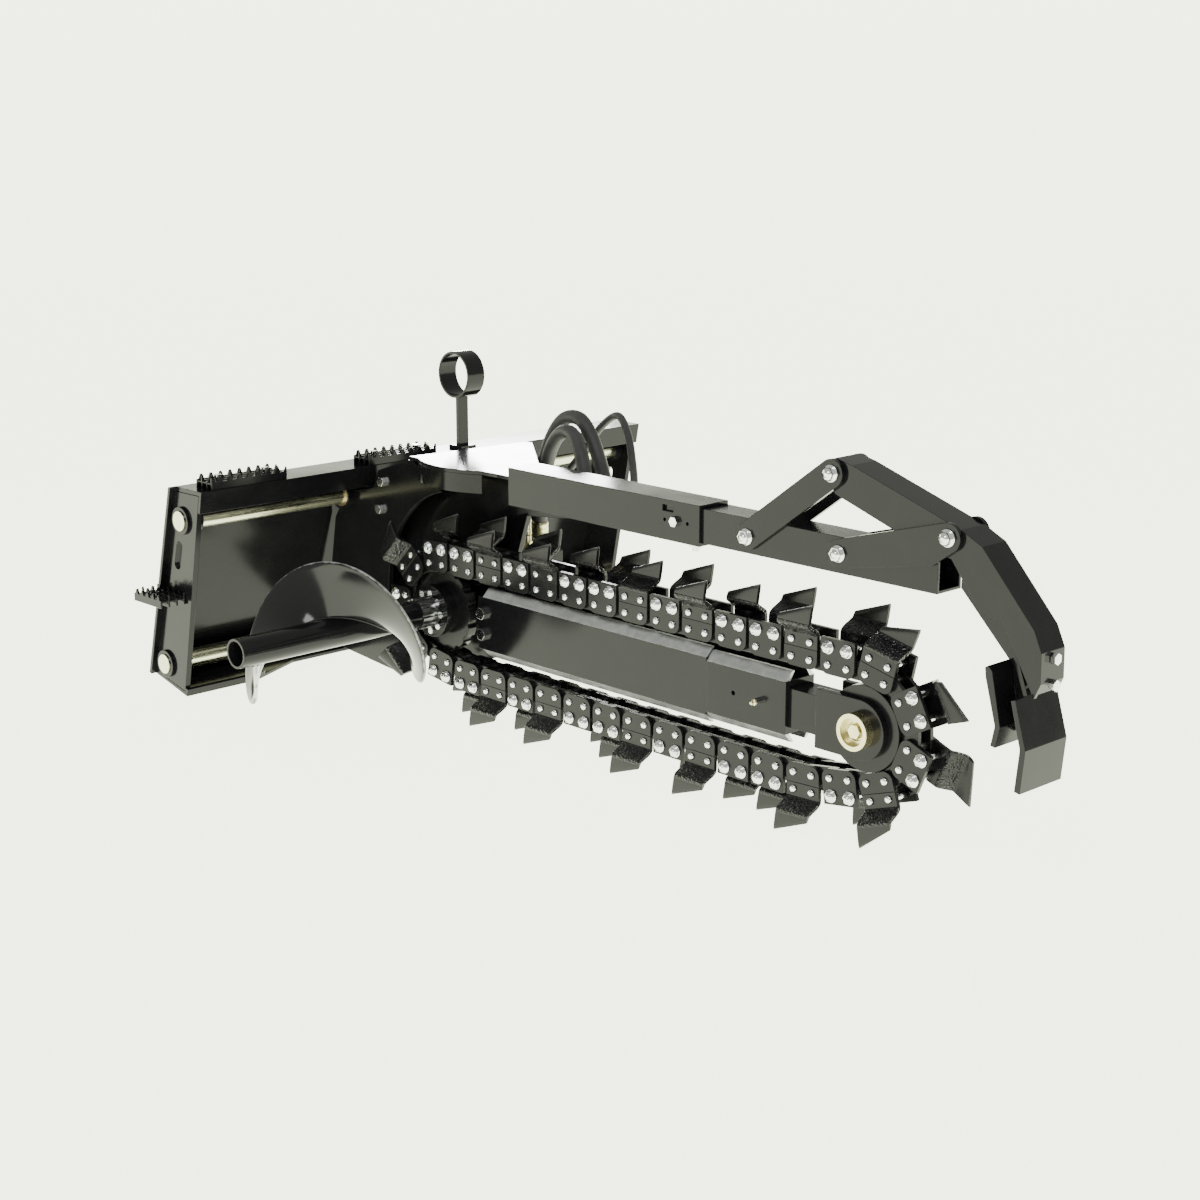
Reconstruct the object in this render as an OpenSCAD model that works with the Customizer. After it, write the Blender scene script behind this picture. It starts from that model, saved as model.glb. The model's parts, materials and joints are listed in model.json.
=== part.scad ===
// Side-shift chain trencher attachment for a skid-steer loader.
// Frame: +X along the boom to its tip, +Y to the far end of the mounting frame, +Z up.
// The origin is the centre of the quick-attach plate's back face.

/* [Mounting frame] */
// Overall width of the mounting frame
frame_w = 1292; // [1200:4:1600]
// Height of the back plate along its slope
plate_h = 440; // [400:5:520]
// Forward lean of the back plate in degrees
frame_lean = 14.7; // [14:0.1:15.4]
// Thickness of the back plate and rails
plate_t = 8; // [6:1:10]
// Thickness of the end plates
end_t = 12; // [10:1:16]
// How far the back plate stands past each end plate
end_inset = 12; // [6:1:20]
// Depth of the frame at its top
top_depth = 103; // [98:1:110]
// Depth of the frame at its bottom
bottom_depth = 131; // [122:1:140]

/* [Side-shift rods] */
// Diameter of the two slide rods
rod_d = 42; // [36:1:46]
// Distance of the rods in front of the back face
rod_out = 46; // [44:1:50]
// Height of the upper rod along the back plate
upper_rod_w = 161; // [150:1:165]
// Gap between the lower guide tube and the bottom rail
guide_over_rail = 3; // [2:1:15]

/* [Chain] */
// Pitch of the digging chain
chain_pitch = 42; // [38:0.5:44]
// Pitch radius at the drive sprocket
drive_r = 101; // [98:0.5:104]
// Pitch radius at the boom tip
tip_r = 97; // [94:0.5:100]
// Distance from the drive shaft to the tip axle
boom_reach = 1158; // [1000:2:1400]
// Thickness of a chain side plate
link_t = 8; // [6:0.5:9]
// Length of a chain roller
roller_w = 26; // [24:0.5:30]
// Diameter of a chain roller
roller_d = 18; // [17:0.5:19]
// Diameter of a chain pin
pin_d = 13; // [11:0.5:14]
// How far the slack lower run hangs under the sprocket
chain_slack = 10.2; // [4:0.2:14]
// How far a cutter's blade is set out of its shank's plane
cutter_set = 28; // [20:1:32]
// Height of a cutter's forward corner above its chain pins
blade_top = 108; // [100:1:125]

/* [Boom] */
// Height of the main beam
beam_h = 110; // [100:2:116]
// Width of the main beam
beam_w = 76; // [70:1:80]
// Height of the sleeve ahead of the beam
sleeve_h = 98; // [94:1:104]
// Height of the sliding inner tube
inner_h = 72; // [68:1:76]
// Wall of the boom tubes
boom_wall = 8; // [6:0.5:9]

/* [Auger] */
// Outer diameter of the auger tube
auger_tube_d = 60; // [54:1:66]
// Outer radius of the auger flight
flight_r = 146; // [120:2:150]
// Length of the auger flight, which makes one turn
flight_len = 390; // [340:5:395]

/* [Crumber] */
// Side of the square outer tube
crumber_outer = 76; // [76:1:80]
// Wall of the outer tube
crumber_wall = 5.5; // [4:0.25:5.5]
// Wall of the inner tube
crumber_inner_wall = 5; // [4:0.5:8]
// Length of both pairs of crumber links
link_len = 237; // [225:1:240]

/* [Hidden] */
$fn = 64;
fit = 0.05;
gap = 0.3;
seat = 0.05;
steel = [0.10, 0.10, 0.11];
bright = [0.82, 0.83, 0.85];
zinc = [0.84, 0.82, 0.62];

// Mounting frame section, in the leaning frame of the back plate
half_h = plate_h / 2;
top_front_w = half_h + 29;
bottom_front_w = -half_h + 3;
end_y = frame_w / 2 - end_inset;
rod_end_y = end_y + 9;
collar_d = rod_d + 18;
guide_d = rod_d + 22;
guide_bore = rod_d + 12;
rail_lift = 7;
lower_rod_w = -half_h + rail_lift + guide_d / 2 + guide_over_rail;
bush_len = 22;
lip_drop = 48;
lock_slot_y = 476;
rail_top_z = top_front_w * cos(frame_lean) - top_depth * sin(frame_lean);
top_back_w = (rail_top_z + (plate_t + seat) * sin(frame_lean)) / cos(frame_lean);
step_x = 102;
step_depth = 58;
step_len = 190;
side_step_x = -18;
side_step_z = -36;
side_step_len = 62;
tread_floor = 19;

// Chain path
chain_y = -244;
drive_x = 475;
drive_z = -40.4;
tip_x = drive_x + boom_reach;
run_top = drive_z + drive_r;
tip_z = run_top - tip_r;
tip_bottom = tip_z - tip_r;
run_low = drive_z - drive_r - chain_slack;
ramp_tip = 3 * chain_pitch;
ramp_drive = 1.5 * chain_pitch;
ramp_tip_len = sqrt(pow(ramp_tip, 2) + pow(tip_bottom - run_low, 2));
ramp_drive_len = sqrt(pow(ramp_drive, 2) + pow(chain_slack, 2));
end_upper = boom_reach;
end_tip = end_upper + PI * tip_r;
end_ramp_tip = end_tip + ramp_tip_len;
end_lower = end_ramp_tip + boom_reach - ramp_tip - ramp_drive;
end_ramp_drive = end_lower + ramp_drive_len;
path_len = end_ramp_drive + PI * drive_r;
link_pairs = round(path_len / (2 * chain_pitch));
pin_count = 2 * link_pairs;
pin_step = path_len / pin_count;
chain_phase = 66.3;

// Chain cross-section, measured out from the chain's middle
inner_face = roller_w / 2;
outer_face = inner_face + link_t + gap;
chain_half = outer_face + link_t;
outer_link_gap = 8;
inner_link_gap = 16;
plate_below = (chain_pitch - outer_link_gap) / 2;
inner_margin = (chain_pitch - inner_link_gap) / 2;
plate_above = 48;
plate_split = 19;
bolt_row = 32;
cutter_bolt_d = 12;
rivet_head_d = 20;
rivet_head_h = 4;
nut_h = 9;
hex_d = 22;
bend_z = 50;
bend_h = 16;
cutter_clear = 32;
sweep_r = drive_r + blade_top + cutter_clear;

// Headstock plates across the machine
near_plate_y = -208;
drive_plate_y = -160;
far_plate_y = 83;
head_t = 12;
cover_z = 250;

// Drive line
shaft_d = 50;
hub_face_y = chain_y - 42;
hub_d = 110;
hub_bolt_count = 9;
hub_bolt_r = 40;
sprocket_t = roller_w - 4;
sprocket_tip_r = drive_r - roller_d / 2 - 1;
sprocket_teeth = round(2 * PI * drive_r / chain_pitch);
housing_d = 120;
housing_bolt_r = 78;
spline_end_y = hub_face_y - 58;
auger_end_y = -774;
flight_start_y = -735;
motor_d = 150;
motor_end_y = 52;

// Boom
beam_z = tip_z;
beam_x0 = drive_x + 150;
tip_gap = tip_x - 1633;
beam_x1 = 1268 + tip_gap;
sleeve_x1 = 1462 + tip_gap;
yoke_x0 = 1535 + tip_gap;
yoke_h = 108;
yoke_t = 12;
yoke_in = beam_w / 2 - 8;
idler_r = tip_r * cos(90 / (PI * tip_r / chain_pitch)) - plate_below - 0.6;
idler_w = 2 * (yoke_in - 1);
axle_d = 35;
rail_t = 6;
rail_in = 17;

// Crumber
crumber_z = 260;
crumber_x0 = 722;
crumber_x1 = 1246;
crumber_inner = crumber_outer - 2 * crumber_wall - 1;
inner_tube_x0 = 900;
inner_tube_x1 = 1780;
arm_w = crumber_inner;
crumber_top = crumber_z + crumber_inner / 2;
strap_t = 8;
bar_t = 8;
bar_y = arm_w / 2 + gap;
pivot_d = 16;
rear_pivot = [1363, crumber_z];
front_pivot = [1575, crumber_z + 4];
rear_angle = 36.2;
front_angle = 15.6;
bar_w = 50;
arm_rear = [rear_pivot[0] + link_len * cos(rear_angle), rear_pivot[1] + link_len * sin(rear_angle)];
arm_front = [front_pivot[0] + link_len * cos(front_angle), front_pivot[1] + link_len * sin(front_angle)];
open_pivot_d = pivot_d + 7.5;
shoe_w = 114;

// Hose routes, from the motor ports to the fittings behind the crumber tube
hose_ring_n = 46;
hose_d = 30;
drain_d = 16;
pressure_route = [
    [448, 0, 76], [448, 0, 112], [474, 2, 176], [506, 6, 237], [530, 10, 300], [568, 12, 344],
    [620, 8, 350], [664, 0, 318], [702, -14, 276], [742, -36, 242], [786, -62, 224],
    [818, -88, 222], [830, -112, 228], [830, -130, 228]
];
return_route = [
    [502, 0, 76], [502, 0, 116], [520, -8, 176], [540, -16, 236], [566, -22, 290], [604, -28, 324],
    [650, -40, 326], [690, -56, 296], [722, -74, 258], [745, -92, 230], [764, -106, 216],
    [775, -118, 212], [775, -130, 212]
];
drain_route = [
    [475, 28, 76], [475, 28, 112], [512, 44, 190], [570, 58, 262], [630, 62, 330], [690, 52, 360],
    [746, 26, 330], [796, -10, 284], [842, -50, 246], [872, -88, 226], [880, -114, 222],
    [880, -130, 222]
];

// ---------- helpers ----------

// Carries the crumber's moving end along with the boom tip
module ahead() {
    translate([tip_gap, 0, 0]) children();
}

// Puts children in the leaning frame of the back plate
module lean() {
    rotate([0, frame_lean, 0]) children();
}

// A plate with an XZ outline between two Y values
module slab(y0, y1, outline) {
    translate([0, y1, 0]) rotate([90, 0, 0]) linear_extrude(y1 - y0) polygon(outline);
}

// A round bar along Y
module round_y(x, z, y0, y1, d) {
    translate([x, y1, z]) rotate([90, 0, 0]) cylinder(d = d, h = y1 - y0);
}

// A hexagonal bar along Y
module hex_y(x, z, y0, y1, d) {
    translate([x, y1, z]) rotate([90, 0, 0]) cylinder(d = d, h = y1 - y0, $fn = 6);
}

// A hollow round bar along Y
module tube_y(x, z, y0, y1, d, bore) {
    difference() {
        round_y(x, z, y0, y1, d);
        round_y(x, z, y0 - 1, y1 + 1, bore);
    }
}

// A box from its two corners
module block(low, high) {
    translate(low) cube(high - low);
}

// A flat bar with round ends between two XZ points
module round_bar(a, b, w, y0, y1) {
    run = norm(b - a);
    turn = atan2(b[1] - a[1], b[0] - a[0]);
    translate([a[0], 0, a[1]]) rotate([0, -turn, 0]) union() {
        block([0, y0, -w / 2], [run, y1, w / 2]);
        round_y(0, 0, y0, y1, w);
        round_y(run, 0, y0, y1, w);
    }
}

// Point on the closed chain path at a distance along it
function chain_point(raw) = let(s = (raw % path_len + path_len) % path_len)
    s < end_upper ? [drive_x + s, run_top] :
    s < end_tip ? tip_point(90 - (s - end_upper) / tip_r * 180 / PI) :
    s < end_ramp_tip ? let(k = (s - end_tip) / ramp_tip_len)
        [tip_x - k * ramp_tip, tip_bottom + k * (run_low - tip_bottom)] :
    s < end_lower ? [tip_x - ramp_tip - (s - end_ramp_tip), run_low] :
    s < end_ramp_drive ? let(k = (s - end_lower) / ramp_drive_len)
        [drive_x + ramp_drive * (1 - k), run_low + k * chain_slack] :
    drive_point(270 - (s - end_ramp_drive) / drive_r * 180 / PI);
function tip_point(a) = [tip_x + tip_r * cos(a), tip_z + tip_r * sin(a)];
function drive_point(a) = [drive_x + drive_r * cos(a), drive_z + drive_r * sin(a)];
function pin_at(i) = chain_point(chain_phase + i * pin_step);
function link_run(i) = norm(pin_at(i + 1) - pin_at(i));
function link_turn(i) = let(d = pin_at(i + 1) - pin_at(i)) atan2(d[1], d[0]);

// Each outer link carries a cutter on its near (-1) or far (1) side, its blade set out (1) or in (-1)
function cutter_side(k) = k % 5 == 1 || k % 5 == 3 ? -1 : 1;
function blade_set(k) = k % 5 == 4 || k % 7 == 6 ? -1 : 1;

// Puts children in the frame of one chain link: X to its next pin, Z outwards
module at_link(i) {
    p = pin_at(i);
    translate([p[0], chain_y, p[1]]) rotate([0, -link_turn(i), 0]) children();
}

// ---------- mounting frame ----------

module back_plate() {
    color(steel) lean() difference() {
        union() {
            block([0, -frame_w / 2, -half_h], [plate_t, frame_w / 2, half_h]);
            // hook lip that hangs on the loader's plate
            slab(-frame_w / 2 + 40, frame_w / 2 - 40, [
                [plate_t, half_h], [0, half_h], [-38, half_h - 30], [-38, half_h - 41],
                [-4, half_h - 14], [-3.2, half_h - 11], [0, half_h - 11]
            ]);
            // ledge that the loader's wedges pass through
            block([-46, -frame_w / 2 + 40, -half_h], [plate_t, frame_w / 2 - 40, -half_h + 12]);
        }
        for (side = [-1, 1])
            block([-38, side * lock_slot_y - 35, -half_h - 1], [-12, side * lock_slot_y + 35, -half_h + 13]);
    }
}

module top_rail() {
    color(steel) lean() slab(-end_y, end_y, [
        [plate_t + seat, half_h - 6], [plate_t + seat, top_back_w], [top_depth, top_front_w],
        [top_depth + 3, top_front_w - lip_drop], [top_depth - 5, top_front_w - lip_drop],
        [top_depth - 7, top_front_w - 10.5]
    ]);
}

module bottom_rail() {
    color(steel) lean() difference() {
        slab(-end_y, end_y, [
            [plate_t + seat, -half_h], [bottom_depth, bottom_front_w],
            [bottom_depth, bottom_front_w + 16], [bottom_depth - 8, bottom_front_w + 16],
            [bottom_depth - 8, bottom_front_w + 7.5], [plate_t + seat, -half_h + rail_lift]
        ]);
        // the front edge steps back between the two deep ends
        translate([0, 0, -half_h - 10]) linear_extrude(60) polygon([
            [bottom_depth + 5, -470], [92, -330], [92, 330], [bottom_depth + 5, 470]
        ]);
    }
}

module end_plate_blank() {
    difference() {
        slab(-end_t, 0, [
            [plate_t + seat, -half_h + 8], [bottom_depth - 9, bottom_front_w + 9],
            [top_depth - 8, top_front_w - 12], [plate_t + seat, half_h - 7]
        ]);
        for (w = [upper_rod_w, lower_rod_w])
            round_y(rod_out, w, -end_t - 1, 1, rod_d + 2 * fit);
        // hand slot
        block([rod_out - 11, -end_t - 1, 60], [rod_out + 11, 1, 101]);
        for (w = [60, 101]) round_y(rod_out, w, -end_t - 1, 1, 22);
    }
}

module end_plates() {
    color(steel) lean() {
        translate([0, -end_y + end_t, 0]) end_plate_blank();
        translate([0, end_y, 0]) end_plate_blank();
    }
}

module slide_rod(w) {
    lean() round_y(rod_out, w, -rod_end_y, rod_end_y, rod_d);
}

module upper_rod() {
    color(zinc) slide_rod(upper_rod_w);
}

module lower_rod() {
    color(zinc) slide_rod(lower_rod_w);
}

module rod_collars() {
    color(steel) lean() for (w = [upper_rod_w, lower_rod_w]) for (side = [-1, 1]) {
        outer = end_y + seat;
        inner = end_y - end_t - seat;
        tube_y(rod_out, w, min(side * outer, side * (outer + 6)), max(side * outer, side * (outer + 6)),
            collar_d, rod_d + 2 * fit);
        tube_y(rod_out, w, min(side * inner, side * (inner - bush_len)),
            max(side * inner, side * (inner - bush_len)), collar_d, rod_d + 2 * fit);
    }
}

// A grip strut tread: a channel whose top edges are cut into teeth
module tread(len_y, depth, teeth) {
    pitch = len_y / teeth;
    difference() {
        block([0, 0, 0], [depth, len_y, 27]);
        block([4, -1, -1], [depth - 4, len_y + 1, 15]);
        // valleys across the tread
        for (k = [0 : teeth - 1]) for (row = [0 : 2])
            translate([depth * (row + 0.5) / 3, pitch * (k + 0.5), tread_floor])
                cylinder(d = min(pitch, depth / 3) * 0.62, h = 9, $fn = 24);
        for (k = [1 : teeth - 1])
            block([-1, pitch * k - 3, 21], [depth + 1, pitch * k + 3, 28]);
    }
}

// Places of the two bolts in each top step
top_bolts = [for (y0 = [-606, -196]) for (k = [1.5, 6.5]) [step_x + step_depth / 2, y0 + step_len * k / 8]];

module top_steps() {
    z0 = rail_top_z + seat;
    color(steel) difference() {
        for (y0 = [-606, -196]) translate([step_x, y0, z0]) tread(step_len, step_depth, 8);
        for (b = top_bolts) translate([b[0], b[1], z0 + tread_floor]) cylinder(d = 20, h = 9);
    }
}

module side_steps() {
    color(steel) difference() {
        for (side = [-1, 1])
            translate([side_step_x, side > 0 ? end_y + seat : -end_y - seat - side_step_len, side_step_z])
                tread(side_step_len, 104, 3);
        // clear of the back plate's edge
        edge_y = frame_w / 2 + gap;
        block([side_step_x - 1, -edge_y, side_step_z - 1], [9, edge_y, side_step_z + 28]);
    }
}

module step_bolts() {
    color(bright) for (b = top_bolts)
        translate([b[0], b[1], rail_top_z + 2 * seat + tread_floor]) cylinder(d = 17, h = 7, $fn = 6);
}

ring_r = 53;
ring_w = 48;
holder_x = 125;
holder_y = 100;
holder_z = 386;

module hose_holder() {
    color(steel) {
        tube_y(holder_x, holder_z, holder_y - ring_w / 2, holder_y + ring_w / 2, 2 * ring_r, 2 * ring_r - 10);
        difference() {
            union() {
                block([holder_x - 5, holder_y - 14, rail_top_z + 5],
                    [holder_x + 5, holder_y + 14, holder_z - 40]);
                block([holder_x - 22, holder_y - 22, rail_top_z + seat],
                    [holder_x + 22, holder_y + 22, rail_top_z + 8]);
            }
            round_y(holder_x, holder_z, holder_y - 40, holder_y + 40, 2 * ring_r - 4);
        }
    }
}

// ---------- headstock ----------

// Places of the two rods in the upright frame
function leaned(u, w) = [u * cos(frame_lean) + w * sin(frame_lean), w * cos(frame_lean) - u * sin(frame_lean)];
upper_c = leaned(rod_out, upper_rod_w);
lower_c = leaned(rod_out, lower_rod_w);

// Rear edge shared by the plates that are welded to both guide tubes
rear_edge = [
    [lower_c[0] + 40, lower_c[1] - 30], lower_c, [20, -60], [upper_c[0] - 40, upper_c[1] - 60], upper_c,
    [upper_c[0] + 70, upper_c[1] + 14], [188, upper_c[1] + 30], [206, cover_z - 37]
];

module guide_holes(y0, y1) {
    for (c = [upper_c, lower_c]) round_y(c[0], c[1], y0 - 1, y1 + 1, guide_d + 2 * fit);
}

module headstock_near_plate() {
    y1 = near_plate_y + head_t;
    color(steel) difference() {
        slab(near_plate_y, y1, concat(rear_edge, [
            [312, cover_z], [326, cover_z], [445, cover_z - 66], [445, -200], [240, -232]
        ]));
        guide_holes(near_plate_y, y1);
        // clear of the cutters that swing round the sprocket
        round_y(drive_x, drive_z, near_plate_y - 1, y1 + 1, 2 * sweep_r);
        for (p = near_bolt_points) round_y(p[0], p[1], near_plate_y - 1, y1 + 1, 14 + 2 * fit);
    }
}

near_bolt_points = [[222, 190], [212, 128]];

module headstock_drive_plate() {
    y1 = drive_plate_y + head_t;
    color(steel) difference() {
        slab(drive_plate_y, y1, [
            [188, 174], [206, cover_z - 37], [312, cover_z], [905, cover_z], [905, 198], [640, 170], [600, 60], [735, 20],
            [735, -92], [600, -130], [440, -190], [250, -190], [150, -60]
        ]);
        round_y(drive_x, drive_z, drive_plate_y - 1, y1 + 1, housing_d + 2 * fit);
        for (a = [0 : 60 : 359])
            housing_bore(a, drive_plate_y - 1, y1 + 1, 12 + 2 * fit);
        for (z = foot_bolt_z) round_y(foot_bolt_x, z, drive_plate_y - 1, y1 + 1, 16 + 2 * fit);
    }
}

// One of the bolts that hold the bearing housing on the drive plate
module housing_bore(a, y0, y1, d) {
    round_y(drive_x + housing_bolt_r * cos(a), drive_z + housing_bolt_r * sin(a), y0, y1, d);
}

foot_bolt_x = beam_x0 + 16;
foot_bolt_z = [beam_z - 22, beam_z + 22];

module headstock_far_plate() {
    y1 = far_plate_y + head_t;
    color(steel) difference() {
        slab(far_plate_y, y1, concat(rear_edge, [
            [318, cover_z], [372, cover_z], [404, 160], [400, -60], [240, -210]
        ]));
        guide_holes(far_plate_y, y1);
    }
}

tube_far_y = chain_y + crumber_outer / 2 + seat;
guard_c = [450, -40];
guard_r = 198;

module headstock_cover() {
    color(steel) {
        translate([0, 0, cover_z + seat]) linear_extrude(8) polygon([
            [316, near_plate_y], [350, far_plate_y + head_t], [372, far_plate_y + head_t],
            [640, -120], [850, -146], [850, tube_far_y], [600, tube_far_y], [555, near_plate_y]
        ]);
        // rounded edge over the front guard
        intersection() {
            translate([guard_c[0], guard_c[1], cover_z + seat]) cylinder(r = guard_r, h = 8, $fn = 96);
            block([300, -260, cover_z], [600, near_plate_y + 1, cover_z + 20]);
        }
    }
}

module front_guard() {
    color(steel) difference() {
        translate([guard_c[0], guard_c[1], cover_z - 40]) cylinder(r = guard_r, h = 40 - seat, $fn = 96);
        translate([guard_c[0], guard_c[1], cover_z - 41]) cylinder(r = guard_r - 6, h = 42, $fn = 96);
        block([200, near_plate_y - seat, cover_z - 42], [700, 200, cover_z + 1]);
    }
}

module guide_tube(c) {
    tube_y(c[0], c[1], near_plate_y - 16, far_plate_y + head_t + 16, guide_d, guide_bore);
}

module upper_guide() {
    color(steel) difference() {
        guide_tube(upper_c);
        lock_bore();
    }
}

module lower_guide() {
    color(steel) guide_tube(lower_c);
}

module lock_bore() {
    translate([upper_c[0], -60, upper_c[1]]) rotate([0, 90 + frame_lean, 0]) cylinder(d = 20.1, h = 60);
}

module guide_bushes() {
    color([0.72, 0.70, 0.62]) for (c = [upper_c, lower_c])
        for (y0 = [near_plate_y - 16, far_plate_y + head_t + 16 - 60])
            tube_y(c[0], c[1], y0, y0 + 60, guide_bore - 2 * fit, rod_d + 2 * fit);
}

module shift_lock() {
    color(bright) translate([upper_c[0], -60, upper_c[1]]) rotate([0, 90 + frame_lean, 0]) {
        translate([0, 0, rod_d / 2 + gap]) cylinder(d = 20, h = 48);
        translate([0, 0, rod_d / 2 + 48]) cylinder(d = 34, h = 14, $fn = 6);
    }
}

module headstock_bolts() {
    color(bright) {
        for (p = near_bolt_points) {
            round_y(p[0], p[1], near_plate_y - seat, near_plate_y + head_t + 14, 14);
            hex_y(p[0], p[1], near_plate_y - 9, near_plate_y - seat, 22);
            hex_y(p[0], p[1], near_plate_y + head_t + seat, near_plate_y + head_t + 11, 22.2);
        }
        for (a = [0 : 60 : 359]) {
            housing_bore(a, drive_plate_y - 1, drive_plate_y + head_t + 15, 12);
            hex_y(drive_x + housing_bolt_r * cos(a), drive_z + housing_bolt_r * sin(a),
                drive_plate_y - 9, drive_plate_y - seat, 19);
        }
        for (z = foot_bolt_z)
            hex_y(foot_bolt_x, z, drive_plate_y + head_t + seat, drive_plate_y + head_t + 12, 24);
    }
}

// ---------- drive ----------

module bearing_housing() {
    y1 = drive_plate_y + head_t;
    color(steel) difference() {
        union() {
            round_y(drive_x, drive_z, chain_y + chain_half + 4, y1 + 16, housing_d);
            round_y(drive_x, drive_z, y1 + seat, y1 + 16, 186);
        }
        round_y(drive_x, drive_z, chain_y, y1 + 20, shaft_d + 2 * fit);
        for (a = [0 : 60 : 359]) housing_bore(a, y1 - 1, y1 + 17, 12 + 2 * fit);
    }
}

module hydraulic_motor() {
    y0 = drive_plate_y + head_t + 16 + seat;
    color(steel) {
        round_y(drive_x, drive_z, y0, y0 + 30, 172);
        round_y(drive_x, drive_z, y0 + 30, motor_end_y - 24, motor_d);
        round_y(drive_x, drive_z, motor_end_y - 24, motor_end_y, motor_d - 16);
        block([drive_x - 48, -22, drive_z + 50], [drive_x + 48, motor_end_y - 6, drive_z + motor_d / 2 + 12]);
    }
}

port_z = drive_z + motor_d / 2 + 12;

// A fitting that stands on the port block under a hose's end
module fitting_up(p, d) {
    translate([p[0], p[1], port_z + seat]) {
        cylinder(d = d + 8, h = 14, $fn = 6);
        translate([0, 0, 14]) cylinder(d = d + 3, h = p[2] - port_z - 14 - 2 * seat);
    }
}

// A fitting on the drive plate at a hose's other end
module fitting_side(p, d) {
    y0 = drive_plate_y + head_t + seat;
    hex_y(p[0], p[2], y0, y0 + 8, d + 8);
    round_y(p[0], p[2], y0 + 8, p[1] - seat, d + 3);
}

module motor_fittings() {
    color(zinc) {
        fitting_up(pressure_route[0], hose_d);
        fitting_up(return_route[0], hose_d);
        fitting_up(drain_route[0], drain_d);
        fitting_side(pressure_route[len(pressure_route) - 1], hose_d);
        fitting_side(return_route[len(return_route) - 1], hose_d);
        fitting_side(drain_route[len(drain_route) - 1], drain_d);
    }
}

// Block that ties the crumber tube to the drive plate
module crumber_bracket() {
    color(steel) block([760, tube_far_y, 224], [850, drive_plate_y - seat, cover_z - seat]);
}

// Catmull-Rom point on a route, so the hose bends smoothly through its points
function route_point(r, t) = let(
    n = len(r) - 1,
    i = min(floor(t), n - 1),
    f = t - i,
    a = r[max(i - 1, 0)],
    b = r[i],
    c = r[i + 1],
    d = r[min(i + 2, n)]
) 0.5 * ((2 * b) + (c - a) * f + (2 * a - 5 * b + 4 * c - d) * f * f + (3 * b - a - 3 * c + d) * pow(f, 3));
function unit(v) = v / norm(v);
function carry(side, along) = unit(side - (side * along) * along);
function sides(along, i = 0, side = [0, 1, 0]) = i >= len(along) ? [] :
    let(s = carry(side, along[i])) concat([s], sides(along, i + 1, s));

// A round hose swept along a route
module hose(route, d, sides_n) {
    n = hose_ring_n;
    last = len(route) - 1;
    centre = [for (k = [0 : n]) route_point(route, last * k / n)];
    along = [for (k = [0 : n]) k == 0 ? unit(route[1] - route[0]) : k == n ?
        unit(route[last] - route[last - 1]) : unit(centre[k + 1] - centre[k - 1])];
    side = sides(along);
    ring = [for (k = [0 : n]) for (j = [0 : sides_n - 1]) let(a = 360 * j / sides_n)
        centre[k] + d / 2 * (cos(a) * side[k] + sin(a) * cross(along[k], side[k]))];
    function wall(k, j) = let(a = k * sides_n + j, b = k * sides_n + (j + 1) % sides_n)
        [[a, b, b + sides_n], [a, b + sides_n, a + sides_n]];
    walls = [for (k = [0 : n - 1]) for (j = [0 : sides_n - 1]) each wall(k, j)];
    polyhedron(ring, concat([[for (j = [sides_n - 1 : -1 : 0]) j]], walls,
        [[for (j = [0 : sides_n - 1]) n * sides_n + j]]));
}

module pressure_hose() {
    color([0.16, 0.16, 0.17]) hose(pressure_route, hose_d, 10);
}

module return_hose() {
    color([0.16, 0.16, 0.17]) hose(return_route, hose_d, 10);
}

module drain_hose() {
    color([0.16, 0.16, 0.17]) hose(drain_route, drain_d, 10);
}

module drive_shaft() {
    y0 = spline_end_y;
    color(bright) difference() {
        union() {
            round_y(drive_x, drive_z, y0, drive_plate_y + head_t + 10, shaft_d);
            round_y(drive_x, drive_z, hub_face_y - 44, hub_face_y - seat, shaft_d + 16);
        }
        for (k = [0 : 15]) translate([drive_x, 0, drive_z]) rotate([0, 22.5 * k, 0])
            block([shaft_d / 2 + 3, hub_face_y - 60, -3], [shaft_d / 2 + 12, hub_face_y - 6, 3]);
    }
}

module drive_hub() {
    color(steel) difference() {
        union() {
            round_y(drive_x, drive_z, hub_face_y, hub_face_y + 14, hub_d);
            round_y(drive_x, drive_z, hub_face_y + 14, chain_y - sprocket_t / 2 - seat, hub_d - 14);
        }
        round_y(drive_x, drive_z, hub_face_y - 1, chain_y, shaft_d + 2 * fit);
        for (k = [0 : hub_bolt_count - 1]) hub_hole(k, hub_face_y - 1, hub_face_y + 12);
    }
}

module hub_hole(k, y0, y1) {
    a = 360 * k / hub_bolt_count;
    round_y(drive_x + hub_bolt_r * cos(a), drive_z + hub_bolt_r * sin(a), y0, y1, 8 + 2 * fit);
}

module hub_bolts() {
    color(bright) for (k = [0 : hub_bolt_count - 1]) {
        a = 360 * k / hub_bolt_count;
        x = drive_x + hub_bolt_r * cos(a);
        z = drive_z + hub_bolt_r * sin(a);
        round_y(x, z, hub_face_y - 1, hub_face_y + 11, 8);
        round_y(x, z, hub_face_y - 8, hub_face_y - seat, 14);
    }
}

module drive_sprocket() {
    color(steel) difference() {
        round_y(drive_x, drive_z, chain_y - sprocket_t / 2, chain_y + sprocket_t / 2, 2 * sprocket_tip_r);
        round_y(drive_x, drive_z, chain_y - sprocket_t, chain_y + sprocket_t, shaft_d + 2 * fit);
        for (k = [0 : sprocket_teeth - 1]) {
            a = 360 * (k + 0.5) / sprocket_teeth;
            round_y(drive_x + (sprocket_tip_r + 4) * cos(a), drive_z + (sprocket_tip_r + 4) * sin(a),
                chain_y - sprocket_t, chain_y + sprocket_t, roller_d + 2);
        }
    }
}

module auger_tube() {
    color(steel) tube_y(drive_x, drive_z, auger_end_y, hub_face_y - 44 - seat, auger_tube_d, shaft_d + 2 * fit);
}

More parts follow.
